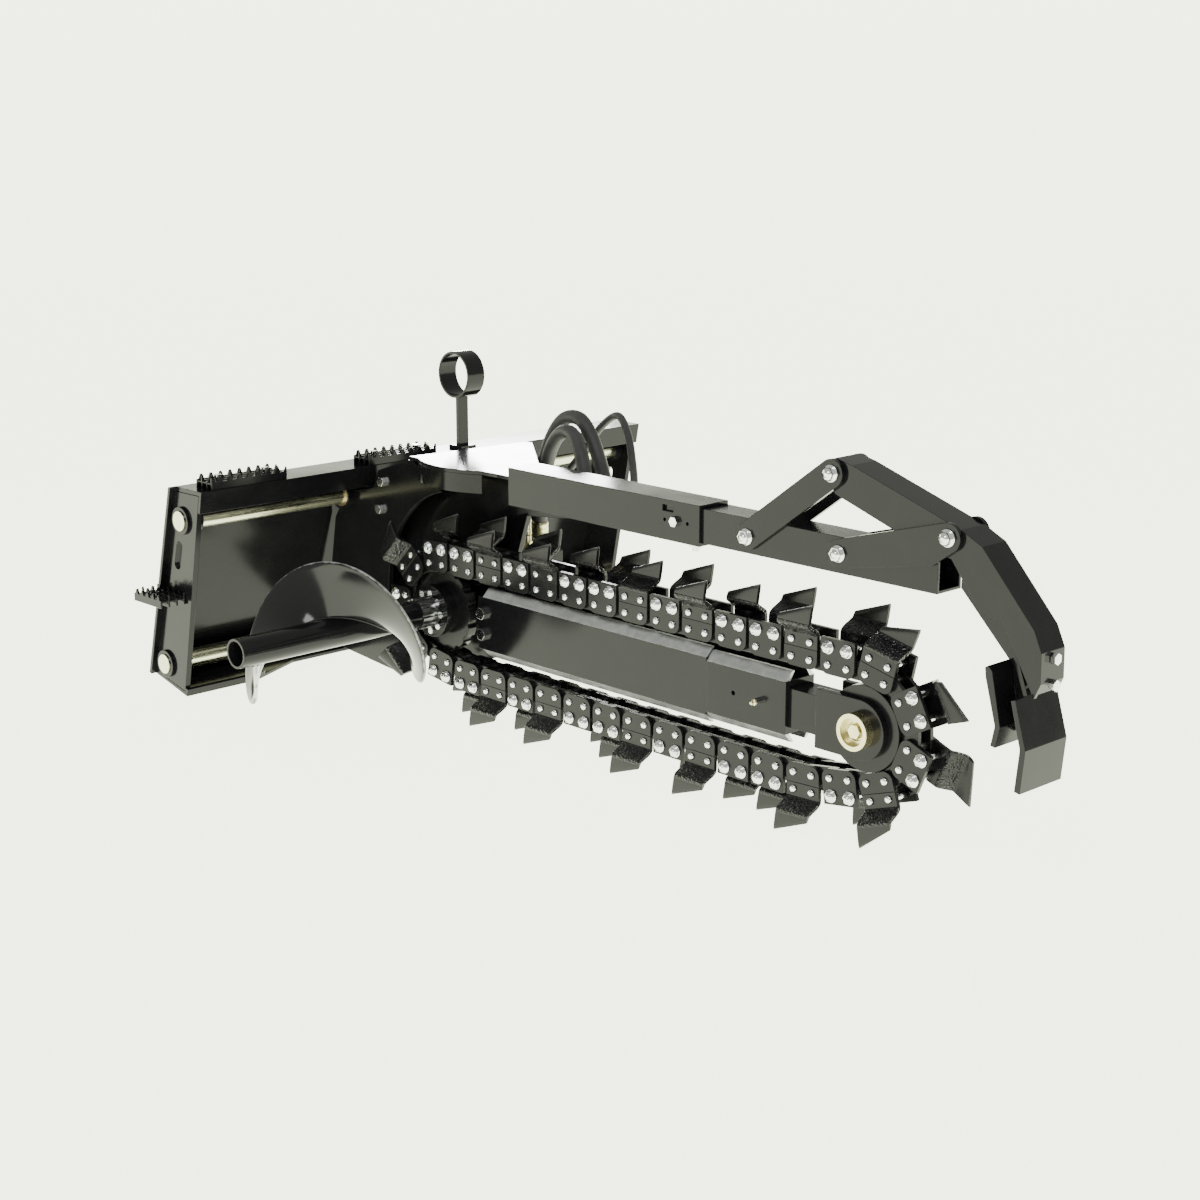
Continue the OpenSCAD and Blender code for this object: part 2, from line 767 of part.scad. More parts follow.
// The flight is one turn of a helicoid whose outer edge draws in at both ends
module auger_flight() {
    n = 60;
    t = 9;
    root = auger_tube_d / 2 + 0.2;
    function edge(k) = let(e = min(k, n - k) / n * 9)
        root + 24 + (flight_r - root - 24) * sqrt(1 - pow(1 - min(e, 1), 2));
    function spoke(k, r, dy) = let(a = -90 - 360 * k / n)
        [drive_x + r * cos(a), flight_start_y + flight_len * k / n + dy, drive_z + r * sin(a)];
    pts = [for (k = [0 : n]) each [
        spoke(k, root, 0), spoke(k, edge(k), 0), spoke(k, edge(k), t), spoke(k, root, t)
    ]];
    function wall(k, j) = let(a = 4 * k + j, b = 4 * k + (j + 1) % 4, c = b + 4, d = a + 4)
        [[a, b, c], [a, c, d]];
    walls = [for (k = [0 : n - 1]) for (j = [0 : 3]) each wall(k, j)];
    color(steel) polyhedron(pts, concat([[3, 2, 1], [3, 1, 0]], walls,
        [[4 * n, 4 * n + 1, 4 * n + 2], [4 * n, 4 * n + 2, 4 * n + 3]]));
}

// ---------- boom ----------

module square_tube_x(x0, x1, w, h, wall) {
    difference() {
        block([x0, chain_y - w / 2, beam_z - h / 2], [x1, chain_y + w / 2, beam_z + h / 2]);
        block([x0 - 1, chain_y - w / 2 + wall, beam_z - h / 2 + wall],
            [x1 + 1, chain_y + w / 2 - wall, beam_z + h / 2 - wall]);
    }
}

module foot_bores(y0, y1, d) {
    for (z = foot_bolt_z) round_y(foot_bolt_x, z, y0, y1, d);
}

module boom_beam() {
    color(steel) difference() {
        square_tube_x(beam_x0, beam_x1, beam_w, beam_h, boom_wall);
        foot_bores(chain_y - beam_w, chain_y + beam_w, 16 + 2 * fit);
    }
}

// Spacer block that carries the beam on the drive plate
module boom_foot() {
    color(steel) difference() {
        union() {
            block([beam_x0 + 4, chain_y + beam_w / 2 + seat, beam_z - 50],
                [beam_x0 + 108, drive_plate_y - seat, beam_z + 50]);
            block([beam_x0 + 4, chain_y - beam_w / 2 + boom_wall + seat, beam_z - 40],
                [beam_x0 + 108, chain_y + beam_w / 2 - boom_wall - seat, beam_z + 40]);
        }
        foot_bores(chain_y - beam_w, drive_plate_y + 1, 16 + 2 * fit);
    }
}

module boom_bolts() {
    color(bright) {
        for (z = foot_bolt_z) {
            round_y(foot_bolt_x, z, chain_y - beam_w / 2 - 1, drive_plate_y + head_t - 1, 16);
            hex_y(foot_bolt_x, z, chain_y - beam_w / 2 - 10, chain_y - beam_w / 2 - seat, 26);
        }
        // grease valve of the chain tensioner
        round_y(sleeve_x1 - 63, beam_z + 1, chain_y - beam_w / 2 - 12, chain_y - beam_w / 2 - seat, 12);
    }
}

// Pair of sloped wear rails along the top and bottom of a tube
module wear_rails(x0, x1, h) {
    for (side = [-1, 1]) for (edge = [-1, 1]) {
        y_in = chain_y + edge * (beam_w / 2 - rail_in);
        y_out = chain_y + edge * beam_w / 2;
        z_in = beam_z + side * (h / 2 + rail_in);
        z_out = beam_z + side * (h / 2 + seat);
        z_foot = beam_z + side * (h / 2 + seat);
        translate([x0, 0, 0]) rotate([90, 0, 90]) linear_extrude(x1 - x0) polygon([
            [y_out, z_out], [y_in, z_in], [y_in - edge * rail_t, z_in], [y_out - edge * 2 * rail_t, z_foot]
        ]);
    }
}

module beam_rails() {
    color([0.62, 0.62, 0.65]) wear_rails(beam_x0 + 14, beam_x1 - 1, beam_h);
}

module boom_sleeve() {
    color(steel) difference() {
        square_tube_x(beam_x1 + seat, sleeve_x1, beam_w, sleeve_h, (sleeve_h - inner_h) / 2 - gap);
        block([beam_x1, chain_y - beam_w / 2 + boom_wall, beam_z - inner_h / 2 - gap],
            [sleeve_x1 + 1, chain_y + beam_w / 2 - boom_wall, beam_z + inner_h / 2 + gap]);
        round_y(beam_x1 + 68, beam_z + 2, chain_y - beam_w, chain_y, 9);
    }
}

module sleeve_rails() {
    color([0.62, 0.62, 0.65]) wear_rails(beam_x1 + 1, sleeve_x1, sleeve_h);
}

// ---------- chain ----------

// The plate on a cutter's side stops under the cutter's shank
module outer_plate(i, side) {
    run = link_run(i);
    whole = side != cutter_side(i / 2);
    y0 = min(side * outer_face, side * chain_half);
    y1 = max(side * outer_face, side * chain_half);
    at_link(i) difference() {
        union() {
            block([-plate_below, y0, 0], [run + plate_below, y1, whole ? plate_above : plate_split]);
            block([0, y0, -plate_below], [run, y1, 1]);
            for (x = [0, run]) round_y(x, 0, y0, y1, 2 * plate_below);
        }
        for (x = [0, run]) {
            round_y(x, 0, y0 - 1, y1 + 1, pin_d + 2 * fit);
            if (whole) round_y(x, bolt_row, y0 - 1, y1 + 1, cutter_bolt_d + 2 * fit);
        }
    }
}

module chain_outer_plates() {
    color(steel) for (k = [0 : link_pairs - 1]) for (side = [-1, 1]) outer_plate(2 * k, side);
}

module inner_plate(i, side) {
    run = link_run(i);
    y0 = min(side * inner_face, side * (inner_face + link_t));
    y1 = max(side * inner_face, side * (inner_face + link_t));
    at_link(i) difference() {
        block([-inner_margin, y0, -plate_below], [run + inner_margin, y1, plate_below]);
        for (x = [0, run]) round_y(x, 0, y0 - 1, y1 + 1, pin_d + 2 * fit);
    }
}

module chain_inner_plates() {
    color(steel) for (k = [0 : link_pairs - 1]) for (side = [-1, 1]) inner_plate(2 * k + 1, side);
}

module chain_rollers() {
    color([0.35, 0.35, 0.37]) for (i = [0 : pin_count - 1]) {
        p = pin_at(i);
        tube_y(p[0], p[1], chain_y - inner_face + seat, chain_y + inner_face - seat, roller_d, pin_d + 2 * fit);
    }
}

module chain_pins() {
    color(bright) for (i = [0 : pin_count - 1]) {
        p = pin_at(i);
        round_y(p[0], p[1], chain_y - chain_half - seat, chain_y + chain_half + seat, pin_d);
        for (side = [-1, 1]) {
            face = chain_half + seat;
            round_y(p[0], p[1], chain_y + min(side * face, side * (face + rivet_head_h)),
                chain_y + max(side * face, side * (face + rivet_head_h)), rivet_head_d);
        }
    }
}

// A bolt through a cutter's shank, its round head on the cutter's side and its nut on the other
module row_bolt(x, side) {
    face = chain_half + seat;
    round_y(x, bolt_row, -face, face, cutter_bolt_d);
    round_y(x, bolt_row, min(side * face, side * (face + rivet_head_h)),
        max(side * face, side * (face + rivet_head_h)), rivet_head_d);
    hex_y(x, bolt_row, min(-side * face, -side * (face + nut_h)), max(-side * face, -side * (face + nut_h)), hex_d);
}

module cutter_bolts() {
    color(bright) for (k = [0 : link_pairs - 1])
        at_link(2 * k) for (x = [0, link_run(2 * k)]) row_bolt(x, cutter_side(k));
}

// A cutter's section across the chain: shank beside the link, a bend, and the blade
function cutter_section(set) = let(
    near = outer_face,
    out = set * cutter_set,
    low = plate_split + gap
) [
    [near, low], [near + link_t, low], [near + link_t, bend_z - 2 * set],
    [near + link_t + out, bend_z - 2 * set + bend_h], [near + link_t + out, blade_top + 6],
    [near + out, blade_top + 6], [near + out, bend_z + 2 * set + bend_h], [near, bend_z + 2 * set]
];

module cutter(run, side, set) {
    low = plate_split + gap;
    difference() {
        intersection() {
            translate([-60, 0, 0]) rotate([90, 0, 90]) linear_extrude(run + 120)
                polygon([for (p = cutter_section(set)) [side * p[0], p[1]]]);
            slab(-100, 100, [
                [-plate_below, low], [run + plate_below, low], [run + plate_below, bend_z + 2],
                [run + plate_below + 9, blade_top], [8 - plate_below, blade_top - 27], [-plate_below, bend_z + 5]
            ]);
        }
        for (x = [0, run]) round_y(x, bolt_row, -chain_half - 1, chain_half + 1, cutter_bolt_d + 2 * fit);
    }
}

module cutters(side) {
    for (k = [0 : link_pairs - 1])
        if (cutter_side(k) == side) at_link(2 * k) cutter(link_run(2 * k), side, blade_set(k));
}

module near_cutters() {
    color(steel) cutters(-1);
}

module far_cutters() {
    color(steel) cutters(1);
}

// ---------- boom tip ----------

module boom_slide() {
    color(steel) difference() {
        block([beam_x1 - 180, chain_y - beam_w / 2 + boom_wall + gap, beam_z - inner_h / 2],
            [yoke_x0 + 60, chain_y + beam_w / 2 - boom_wall - gap, beam_z + inner_h / 2]);
        block([beam_x1 - 181, chain_y - beam_w / 2 + 2 * boom_wall, beam_z - inner_h / 2 + boom_wall],
            [yoke_x0 + 61, chain_y + beam_w / 2 - 2 * boom_wall, beam_z + inner_h / 2 - boom_wall]);
        round_y(tip_x, tip_z, chain_y - beam_w, chain_y + beam_w, 2 * idler_r + 8);
    }
}

module tip_yoke() {
    color(steel) for (side = [-1, 1]) {
        y0 = chain_y + min(side * yoke_in, side * (yoke_in + yoke_t));
        y1 = y0 + yoke_t;
        difference() {
            union() {
                block([yoke_x0, y0, tip_z - yoke_h / 2], [tip_x, y1, tip_z + yoke_h / 2]);
                round_y(tip_x, tip_z, y0, y1, yoke_h);
            }
            round_y(tip_x, tip_z, y0 - 1, y1 + 1, axle_d + 2 * fit);
        }
    }
}

module tip_axle() {
    face = yoke_in + yoke_t;
    color(zinc) {
        round_y(tip_x, tip_z, chain_y - face - 3, chain_y + face + 3, axle_d);
        difference() {
            round_y(tip_x, tip_z, chain_y - face - 20, chain_y - face - seat, 66);
            round_y(tip_x, tip_z, chain_y - face - 21, chain_y - face - 8, 50);
            round_y(tip_x, tip_z, chain_y - face - 9, chain_y - face, axle_d + 2 * fit);
        }
        hex_y(tip_x, tip_z, chain_y - face - 14, chain_y - face - 3, 27);
        difference() {
            round_y(tip_x, tip_z, chain_y + face + seat, chain_y + face + 10, 56);
            round_y(tip_x, tip_z, chain_y + face, chain_y + face + 11, axle_d + 2 * fit);
        }
    }
}

module idler_wheel() {
    half = idler_w / 2;
    color(steel) tube_y(tip_x, tip_z, chain_y - half, chain_y + half, 2 * idler_r, axle_d + 2 * fit);
}

// ---------- crumber ----------

module square_tube_crumber(x0, x1, side, wall) {
    difference() {
        block([x0, chain_y - side / 2, crumber_z - side / 2],
            [x1, chain_y + side / 2, crumber_z + side / 2]);
        block([x0 - 1, chain_y - side / 2 + wall, crumber_z - side / 2 + wall],
            [x1 + 1, chain_y + side / 2 - wall, crumber_z + side / 2 - wall]);
    }
}

module crumber_tube() {
    y0 = chain_y - crumber_outer / 2 - 1;
    y1 = chain_y - crumber_outer / 2 + crumber_wall + 1;
    color(steel) difference() {
        square_tube_crumber(crumber_x0, crumber_x1, crumber_outer, crumber_wall);
        round_y(crumber_x1 - 60, crumber_z, y0, y1, 12.1);
        for (dx = [-88, -30]) round_y(crumber_x1 + dx, crumber_z, y0, y1, 7);
        block([crumber_x1 - 94, y0, crumber_z + 16], [crumber_x1 - 66, y1, crumber_z + 28]);
    }
}

module crumber_lock() {
    y_near = chain_y - crumber_outer / 2;
    color(bright) {
        hex_y(crumber_x1 - 60, crumber_z, y_near - 8, y_near - seat, 20);
        round_y(crumber_x1 - 60, crumber_z, y_near - 0.5, y_near + crumber_wall, 12);
        // clamp screw under the tube
        translate([crumber_x1 - 44, chain_y, crumber_z - crumber_outer / 2]) {
            translate([0, 0, -20]) cylinder(d = 12, h = 20 - seat);
            translate([0, 0, -12]) cylinder(d = 26, h = 12 - seat, $fn = 6);
        }
    }
}

module crumber_slide() {
    color(steel) ahead() difference() {
        square_tube_crumber(inner_tube_x0 - tip_gap, inner_tube_x1, crumber_inner, crumber_inner_wall);
        for (p = [rear_pivot, front_pivot])
            round_y(p[0], p[1], chain_y - 60, chain_y + 60, pivot_d + 2 * fit);
    }
}

module link_pair(a, b, hole_b) {
    for (side = [-1, 1]) {
        y0 = chain_y + min(side * bar_y, side * (bar_y + bar_t));
        y1 = y0 + bar_t;
        difference() {
            round_bar(a, b, bar_w, y0, y1);
            round_y(a[0], a[1], y0 - 1, y1 + 1, pivot_d + 2 * fit);
            round_y(b[0], b[1], y0 - 1, y1 + 1, hole_b);
        }
    }
}

module crumber_rear_links() {
    y_out = bar_y + bar_t;
    color(steel) ahead() link_pair(rear_pivot, arm_rear, pivot_d + 2 * fit);
    // the upper pivot pin rides on these links, inside the arm's larger hole
    color(bright) ahead() pivot_bolt(arm_rear, y_out);
}

module pivot_bolt(p, y_out) {
    round_y(p[0], p[1], chain_y - y_out - 1, chain_y + y_out + 1, pivot_d);
    hex_y(p[0], p[1], chain_y - y_out - 10, chain_y - y_out - seat, 25);
    hex_y(p[0], p[1], chain_y + y_out + seat, chain_y + y_out + 12, 25);
}

module crumber_front_links() {
    color(steel) ahead() for (side = [-1, 1]) {
        y0 = chain_y + min(side * bar_y, side * (bar_y + bar_t));
        y1 = y0 + bar_t;
        a = front_pivot;
        b = arm_front;
        difference() {
            union() {
                round_bar(a, b, bar_w, y0, y1);
                slab(y0, y1, [
                    [a[0] + 6, a[1] - 24], [b[0] - 30, b[1] - 52], [b[0] + 14, b[1] - 20], [b[0], b[1]]
                ]);
            }
            for (p = [a, b]) round_y(p[0], p[1], y0 - 1, y1 + 1, pivot_d + 2 * fit);
        }
    }
    color(bright) ahead() pivot_bolt(arm_front, bar_y + bar_t);
}

// Side outline of the bent arm, seen across the machine
arm_outline = [
    [arm_rear[0] - 20, arm_rear[1] - 4], [arm_rear[0] + 2, arm_rear[1] + 26],
    [arm_rear[0] + 38, arm_rear[1] + 18], [1823, crumber_top + 51], [1866, crumber_top + 30], [1973, 204],
    [1989, 169], [1990, 118], [1978, 92], [1911, 206], [1868, 214], [1806, crumber_top],
    [1696, crumber_top + 26], [arm_rear[0] + 4, arm_rear[1] - 36]
];

module crumber_arm() {
    half = arm_w / 2;
    color(steel) ahead() difference() {
        slab(chain_y - half, chain_y + half, arm_outline);
        // hollow of the channel, open on its lower side
        slab(chain_y - half + strap_t, chain_y + half - strap_t, [
            [arm_rear[0] - 40, arm_rear[1] - 60], [arm_rear[0] - 40, arm_rear[1] + 18],
            [arm_rear[0] + 38, arm_rear[1] + 9], [1821, crumber_top + 42], [1861, crumber_top + 22], [1965, 200],
            [1980, 168], [1981, 80], [1900, 120], [1780, 200]
        ]);
        round_y(arm_rear[0], arm_rear[1], chain_y - half - 1, chain_y + half + 1, open_pivot_d);
        round_y(arm_front[0], arm_front[1], chain_y - half - 1, chain_y + half + 1, pivot_d + 2 * fit);
        for (z = shoe_bolt_z)
            translate([1970, chain_y, z]) rotate([0, 90, 0]) cylinder(d = shoe_bolt_d + 2 * fit, h = 40);
    }
}

shoe_bolt_d = 10;
shoe_bolt_z = [112, 156];
arm_front_x = 1990;
// Where a shoe bolt's tapped hole ends inside the shoe's head
function shoe_bolt_x(z) = 1956 - 0.41 * (z - 92);

module crumber_shoe() {
    top_half = arm_w / 2 - strap_t - gap;
    color(steel) ahead() difference() {
        union() {
            // narrow head of the front strap inside the arm
            slab(chain_y - top_half, chain_y + top_half, [[1898, 232], [1906, 236], [1961, 92], [1953, 89]]);
            front_strap();
            rear_strap();
            slab(chain_y - 5, chain_y + 5, [
                [1808, 240], [1810, 296], [1832, 310], [1858, 296], [1898, 232], [1953, 89], [1972, 12],
                [1934, 20], [1916, 132], [1880, 168], [1842, 206]
            ]);
        }
        for (z = shoe_bolt_z) translate([shoe_bolt_x(z), chain_y, z]) rotate([0, 90, 0])
            cylinder(d = shoe_bolt_d + 2 * fit, h = 30);
    }
}

// Bolts that draw the shoe up to the arm's end
module shoe_bolts() {
    color(bright) ahead() for (z = shoe_bolt_z) translate([0, chain_y, z]) rotate([0, 90, 0]) {
        translate([0, 0, shoe_bolt_x(z) + seat]) cylinder(d = shoe_bolt_d, h = arm_front_x + 4 - shoe_bolt_x(z));
        translate([0, 0, arm_front_x + gap]) cylinder(d = 20, h = 9, $fn = 6);
    }
}

module front_strap() {
    slab(chain_y - shoe_w / 2, chain_y + shoe_w / 2, [
        [1953, 89], [1961, 92], [1985, 12], [1978, -62], [1967, -60], [1974, 12]
    ]);
}

module rear_strap() {
    slab(chain_y - shoe_w / 2, chain_y + shoe_w / 2, [
        [1900, 134], [1906, 138], [1914, 130], [1934, 40], [1926, 4], [1917, 6], [1924, 40], [1902, 118]
    ]);
}

module crumber_bolts() {
    y_out = bar_y + bar_t;
    color(bright) ahead() {
        pivot_bolt(rear_pivot, y_out);
        pivot_bolt(front_pivot, y_out);
    }
}

back_plate();
top_rail();
bottom_rail();
end_plates();
upper_rod();
lower_rod();
rod_collars();
top_steps();
side_steps();
step_bolts();
hose_holder();
headstock_near_plate();
headstock_drive_plate();
headstock_far_plate();
headstock_cover();
front_guard();
upper_guide();
lower_guide();
guide_bushes();
shift_lock();
headstock_bolts();
bearing_housing();
hydraulic_motor();
motor_fittings();
crumber_bracket();
pressure_hose();
return_hose();
drain_hose();
boom_beam();
boom_foot();
beam_rails();
boom_sleeve();
sleeve_rails();
boom_bolts();
chain_outer_plates();
chain_inner_plates();
chain_rollers();
chain_pins();
cutter_bolts();
near_cutters();
far_cutters();
crumber_tube();
crumber_lock();
drive_shaft();
drive_hub();
hub_bolts();
drive_sprocket();
auger_tube();
auger_flight();
boom_slide();
tip_yoke();
tip_axle();
idler_wheel();
crumber_slide();
crumber_rear_links();
crumber_front_links();
crumber_arm();
crumber_shoe();
shoe_bolts();
crumber_bolts();
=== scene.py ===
"""Side-shift chain trencher attachment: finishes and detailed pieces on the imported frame."""

import json
import math

import bpy
import numpy as np
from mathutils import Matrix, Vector


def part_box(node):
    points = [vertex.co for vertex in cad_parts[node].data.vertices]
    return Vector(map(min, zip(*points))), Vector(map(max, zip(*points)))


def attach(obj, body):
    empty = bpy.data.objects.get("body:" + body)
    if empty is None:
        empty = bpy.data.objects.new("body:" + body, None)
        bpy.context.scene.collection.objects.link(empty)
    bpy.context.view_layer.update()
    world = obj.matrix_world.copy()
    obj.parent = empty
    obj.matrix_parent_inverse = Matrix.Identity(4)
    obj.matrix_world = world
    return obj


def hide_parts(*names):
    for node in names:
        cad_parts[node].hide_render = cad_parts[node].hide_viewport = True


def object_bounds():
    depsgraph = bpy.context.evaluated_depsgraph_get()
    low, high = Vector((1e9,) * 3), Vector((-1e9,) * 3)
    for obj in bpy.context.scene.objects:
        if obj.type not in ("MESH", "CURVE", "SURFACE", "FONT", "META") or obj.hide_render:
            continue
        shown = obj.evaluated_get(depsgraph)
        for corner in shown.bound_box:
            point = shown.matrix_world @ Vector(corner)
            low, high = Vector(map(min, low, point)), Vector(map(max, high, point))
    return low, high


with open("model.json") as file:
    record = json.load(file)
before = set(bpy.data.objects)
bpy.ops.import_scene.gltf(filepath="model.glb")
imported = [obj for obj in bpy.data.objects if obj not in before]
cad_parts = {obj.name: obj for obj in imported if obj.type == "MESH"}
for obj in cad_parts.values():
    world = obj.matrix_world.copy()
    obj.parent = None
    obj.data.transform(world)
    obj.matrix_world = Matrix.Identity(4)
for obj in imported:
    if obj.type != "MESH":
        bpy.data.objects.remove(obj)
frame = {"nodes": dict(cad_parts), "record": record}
cad_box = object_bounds()
NODES = frame["nodes"]

# ---------------------------------------------------------------- chain and drive line, in metres
CHAIN_Y = -0.244
DRIVE = np.array([0.475, -0.0404])
DRIVE_R = 0.101
TIP_R = 0.097
REACH = 1.158
SLACK = 0.0102
PITCH = 0.042
RAMP_TIP = 3 * PITCH
RAMP_DRIVE = 1.5 * PITCH
CHAIN_PHASE = 0.0663
INNER_FACE = 0.013
LINK_T = 0.008
CHAIN_HALF = INNER_FACE + 2 * LINK_T + 0.0003
BOLT_ROW = 0.032
OUTER_FACE = CHAIN_HALF - LINK_T
# a cutter's sideways set, its lower edge, its bend and its upper edge, as heights over the pins
CUTTER_SET = 0.028
CUTTER_LOW = 0.0193
BEND_Z = 0.050
BEND_H = 0.016
BEND_ROUNDING = 0.03
BLADE_FOOT = 0.071
BLADE_REAR = 0.081
BLADE_TOP = 0.108
EDGE_BEVEL = 0.007


# ---------------------------------------------------------------- mesh helpers
def grid_faces(rows, cols, close_rows=False, close_cols=False):
    """Quads of a grid of rows x cols points, row after row, closed along either way if asked."""
    r = np.arange(rows if close_rows else rows - 1)
    c = np.arange(cols if close_cols else cols - 1)
    r, c = np.meshgrid(r, c, indexing="ij")
    r2, c2 = (r + 1) % rows, (c + 1) % cols
    return np.stack([r * cols + c, r * cols + c2, r2 * cols + c2, r2 * cols + c], -1).reshape(-1, 4)


def add_piece(name, points, faces, body, finish, replaced=(), slot=None, smooth=True, uv=None):
    """A mesh object from points (n, 3) and a list of face arrays. uv gives one (u, v) for each point."""
    mesh = bpy.data.meshes.new(name)
    face_list = [f for block in faces for f in np.asarray(block).tolist()]
    mesh.from_pydata(np.asarray(points, float).tolist(), [], face_list)
    mesh.validate()
    if uv is not None:
        corner = np.empty(len(mesh.loops), np.int32)
        mesh.loops.foreach_get("vertex_index", corner)
        layer = mesh.uv_layers.new(name="UVMap")
        layer.data.foreach_set("uv", np.asarray(uv, np.float32)[corner].ravel())
    mesh.polygons.foreach_set("use_smooth", np.full(len(mesh.polygons), smooth))
    piece = bpy.data.objects.new(name, mesh)
    bpy.context.scene.collection.objects.link(piece)
    mesh.materials.append(finish)
    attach(piece, body)
    if replaced:
        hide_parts(*replaced)
    return piece


def soften(piece, width, segments, angle):
    """Rounds a piece's sharp edges and keeps its flats flat."""
    bevel = piece.modifiers.new("rounded_edges", "BEVEL")
    bevel.width = width
    bevel.segments = segments
    bevel.limit_method = "ANGLE"
    bevel.angle_limit = math.radians(angle)
    bevel.harden_normals = True


def turned(profile, sides, flats=0):
    """A turned solid: each profile row (radius, height) becomes a ring about Z, and flat faces close it.
    With flats, the radius is divided by the cosine of the angle to the nearest flat's middle, which makes
    a prism. A third number in a row says how much of that the row takes, from 0 to 1."""
    profile = np.asarray(profile, float)
    angle = np.arange(sides) * 2 * np.pi / sides
    stretch = np.ones((len(profile), sides))
    if flats:
        step = 2 * np.pi / flats
        off = (angle + step / 2) % step - step / 2
        flat_rows = profile[:, 2:3] if profile.shape[1] > 2 else np.ones((len(profile), 1))
        stretch = 1 + flat_rows * (1 / np.cos(off) - 1)[None, :]
    radius = profile[:, 0:1] * stretch
    points = np.stack([radius * np.cos(angle), radius * np.sin(angle),
                       np.broadcast_to(profile[:, 1:2], radius.shape)], -1).reshape(-1, 3)
    rows = len(profile)
    walls = grid_faces(rows, sides, close_cols=True)
    bottom = np.arange(sides)[::-1][None, :]
    top = (np.arange(sides) + (rows - 1) * sides)[None, :]
    return points, [walls, bottom, top]


def copies(points, faces, frames, origins):
    """Copies a shape to many places: each point is turned by a 3x3 frame and moved to an origin."""
    frames, origins = np.asarray(frames, float), np.asarray(origins, float)
    placed = origins[:, None, :] + np.einsum("kij,nj->kni", frames, points)
    shift = np.arange(len(origins)) * len(points)
    blocks = [np.asarray(f) for f in faces]
    many = [(f[None, :, :] + shift[:, None, None]).reshape(-1, f.shape[1]) for f in blocks]
    return placed.reshape(-1, 3), many


def merged(shapes):
    """Joins (points, faces) shapes into one."""
    points, faces, start = [], [], 0
    for p, fs in shapes:
        points.append(p)
        faces += [np.asarray(f) + start for f in fs]
        start += len(p)
    return np.concatenate(points), faces


def frame_to(axis):
    """A 3x3 frame whose Z points along axis."""
    axis = np.asarray(axis, float) / np.linalg.norm(axis)
    help_axis = np.array([1.0, 0, 0]) if abs(axis[0]) < 0.9 else np.array([0, 0, 1.0])
    x = np.cross(help_axis, axis)
    x /= np.linalg.norm(x)
    return np.stack([x, np.cross(axis, x), axis], 1)


SPOKE_REFERENCE = np.array([1.0, 1.0, -1.0])


def swept(path, radius, sides):
    """A round bar along a path: at each point a ring stands square to the path's direction,
    with its first spoke at right angles to a fixed reference direction. Ends are flat."""
    path = np.asarray(path, float)
    along = np.gradient(path, axis=0)
    along /= np.linalg.norm(along, axis=1, keepdims=True)
    side = np.cross(along, SPOKE_REFERENCE / np.linalg.norm(SPOKE_REFERENCE))
    side /= np.linalg.norm(side, axis=1, keepdims=True)
    up = np.cross(side, along)
    angle = np.arange(sides) * 2 * np.pi / sides
    radius = np.broadcast_to(np.asarray(radius, float).reshape(-1, 1), (len(path), 1))
    ring = radius[:, :, None] * (np.cos(angle)[None, :, None] * side[:, None, :]
                                 - np.sin(angle)[None, :, None] * up[:, None, :])
    points = (path[:, None, :] + ring).reshape(-1, 3)
    walls = grid_faces(len(path), sides, close_cols=True)
    start = np.arange(sides)[::-1][None, :]
    end = (np.arange(sides) + (len(path) - 1) * sides)[None, :]
    length = np.concatenate([[0], np.cumsum(np.linalg.norm(np.diff(path, axis=0), axis=1))])
    uv = np.stack(np.meshgrid(length, angle / (2 * np.pi), indexing="ij"), -1).reshape(-1, 2)
    return points, [walls, start, end], uv


def smooth_route(knots, count):
    """Catmull-Rom curve through the knots: each stretch is the cubic through its own four nearest knots."""
    knots = np.asarray(knots, float)
    padded = np.concatenate([knots[:1], knots, knots[-1:]])
    t = np.linspace(0, len(knots) - 1, count)
    i = np.minimum(t.astype(int), len(knots) - 2)
    f = (t - i)[:, None]
    a, b, c, d = padded[i], padded[i + 1], padded[i + 2], padded[i + 3]
    square = 2 * a - 5 * b + 4 * c - d
    cube = 3 * b - a - 3 * c + d
    return 0.5 * (2 * b + (c - a) * f + square * f**2 + cube * f**3)


# ---------------------------------------------------------------- finishes
PAINT_BLACK = (0.006, 0.006, 0.007)
EDGE = 0.0016
CHAIN_EDGE = 0.0014
FLOOR_GLOW = 4.4


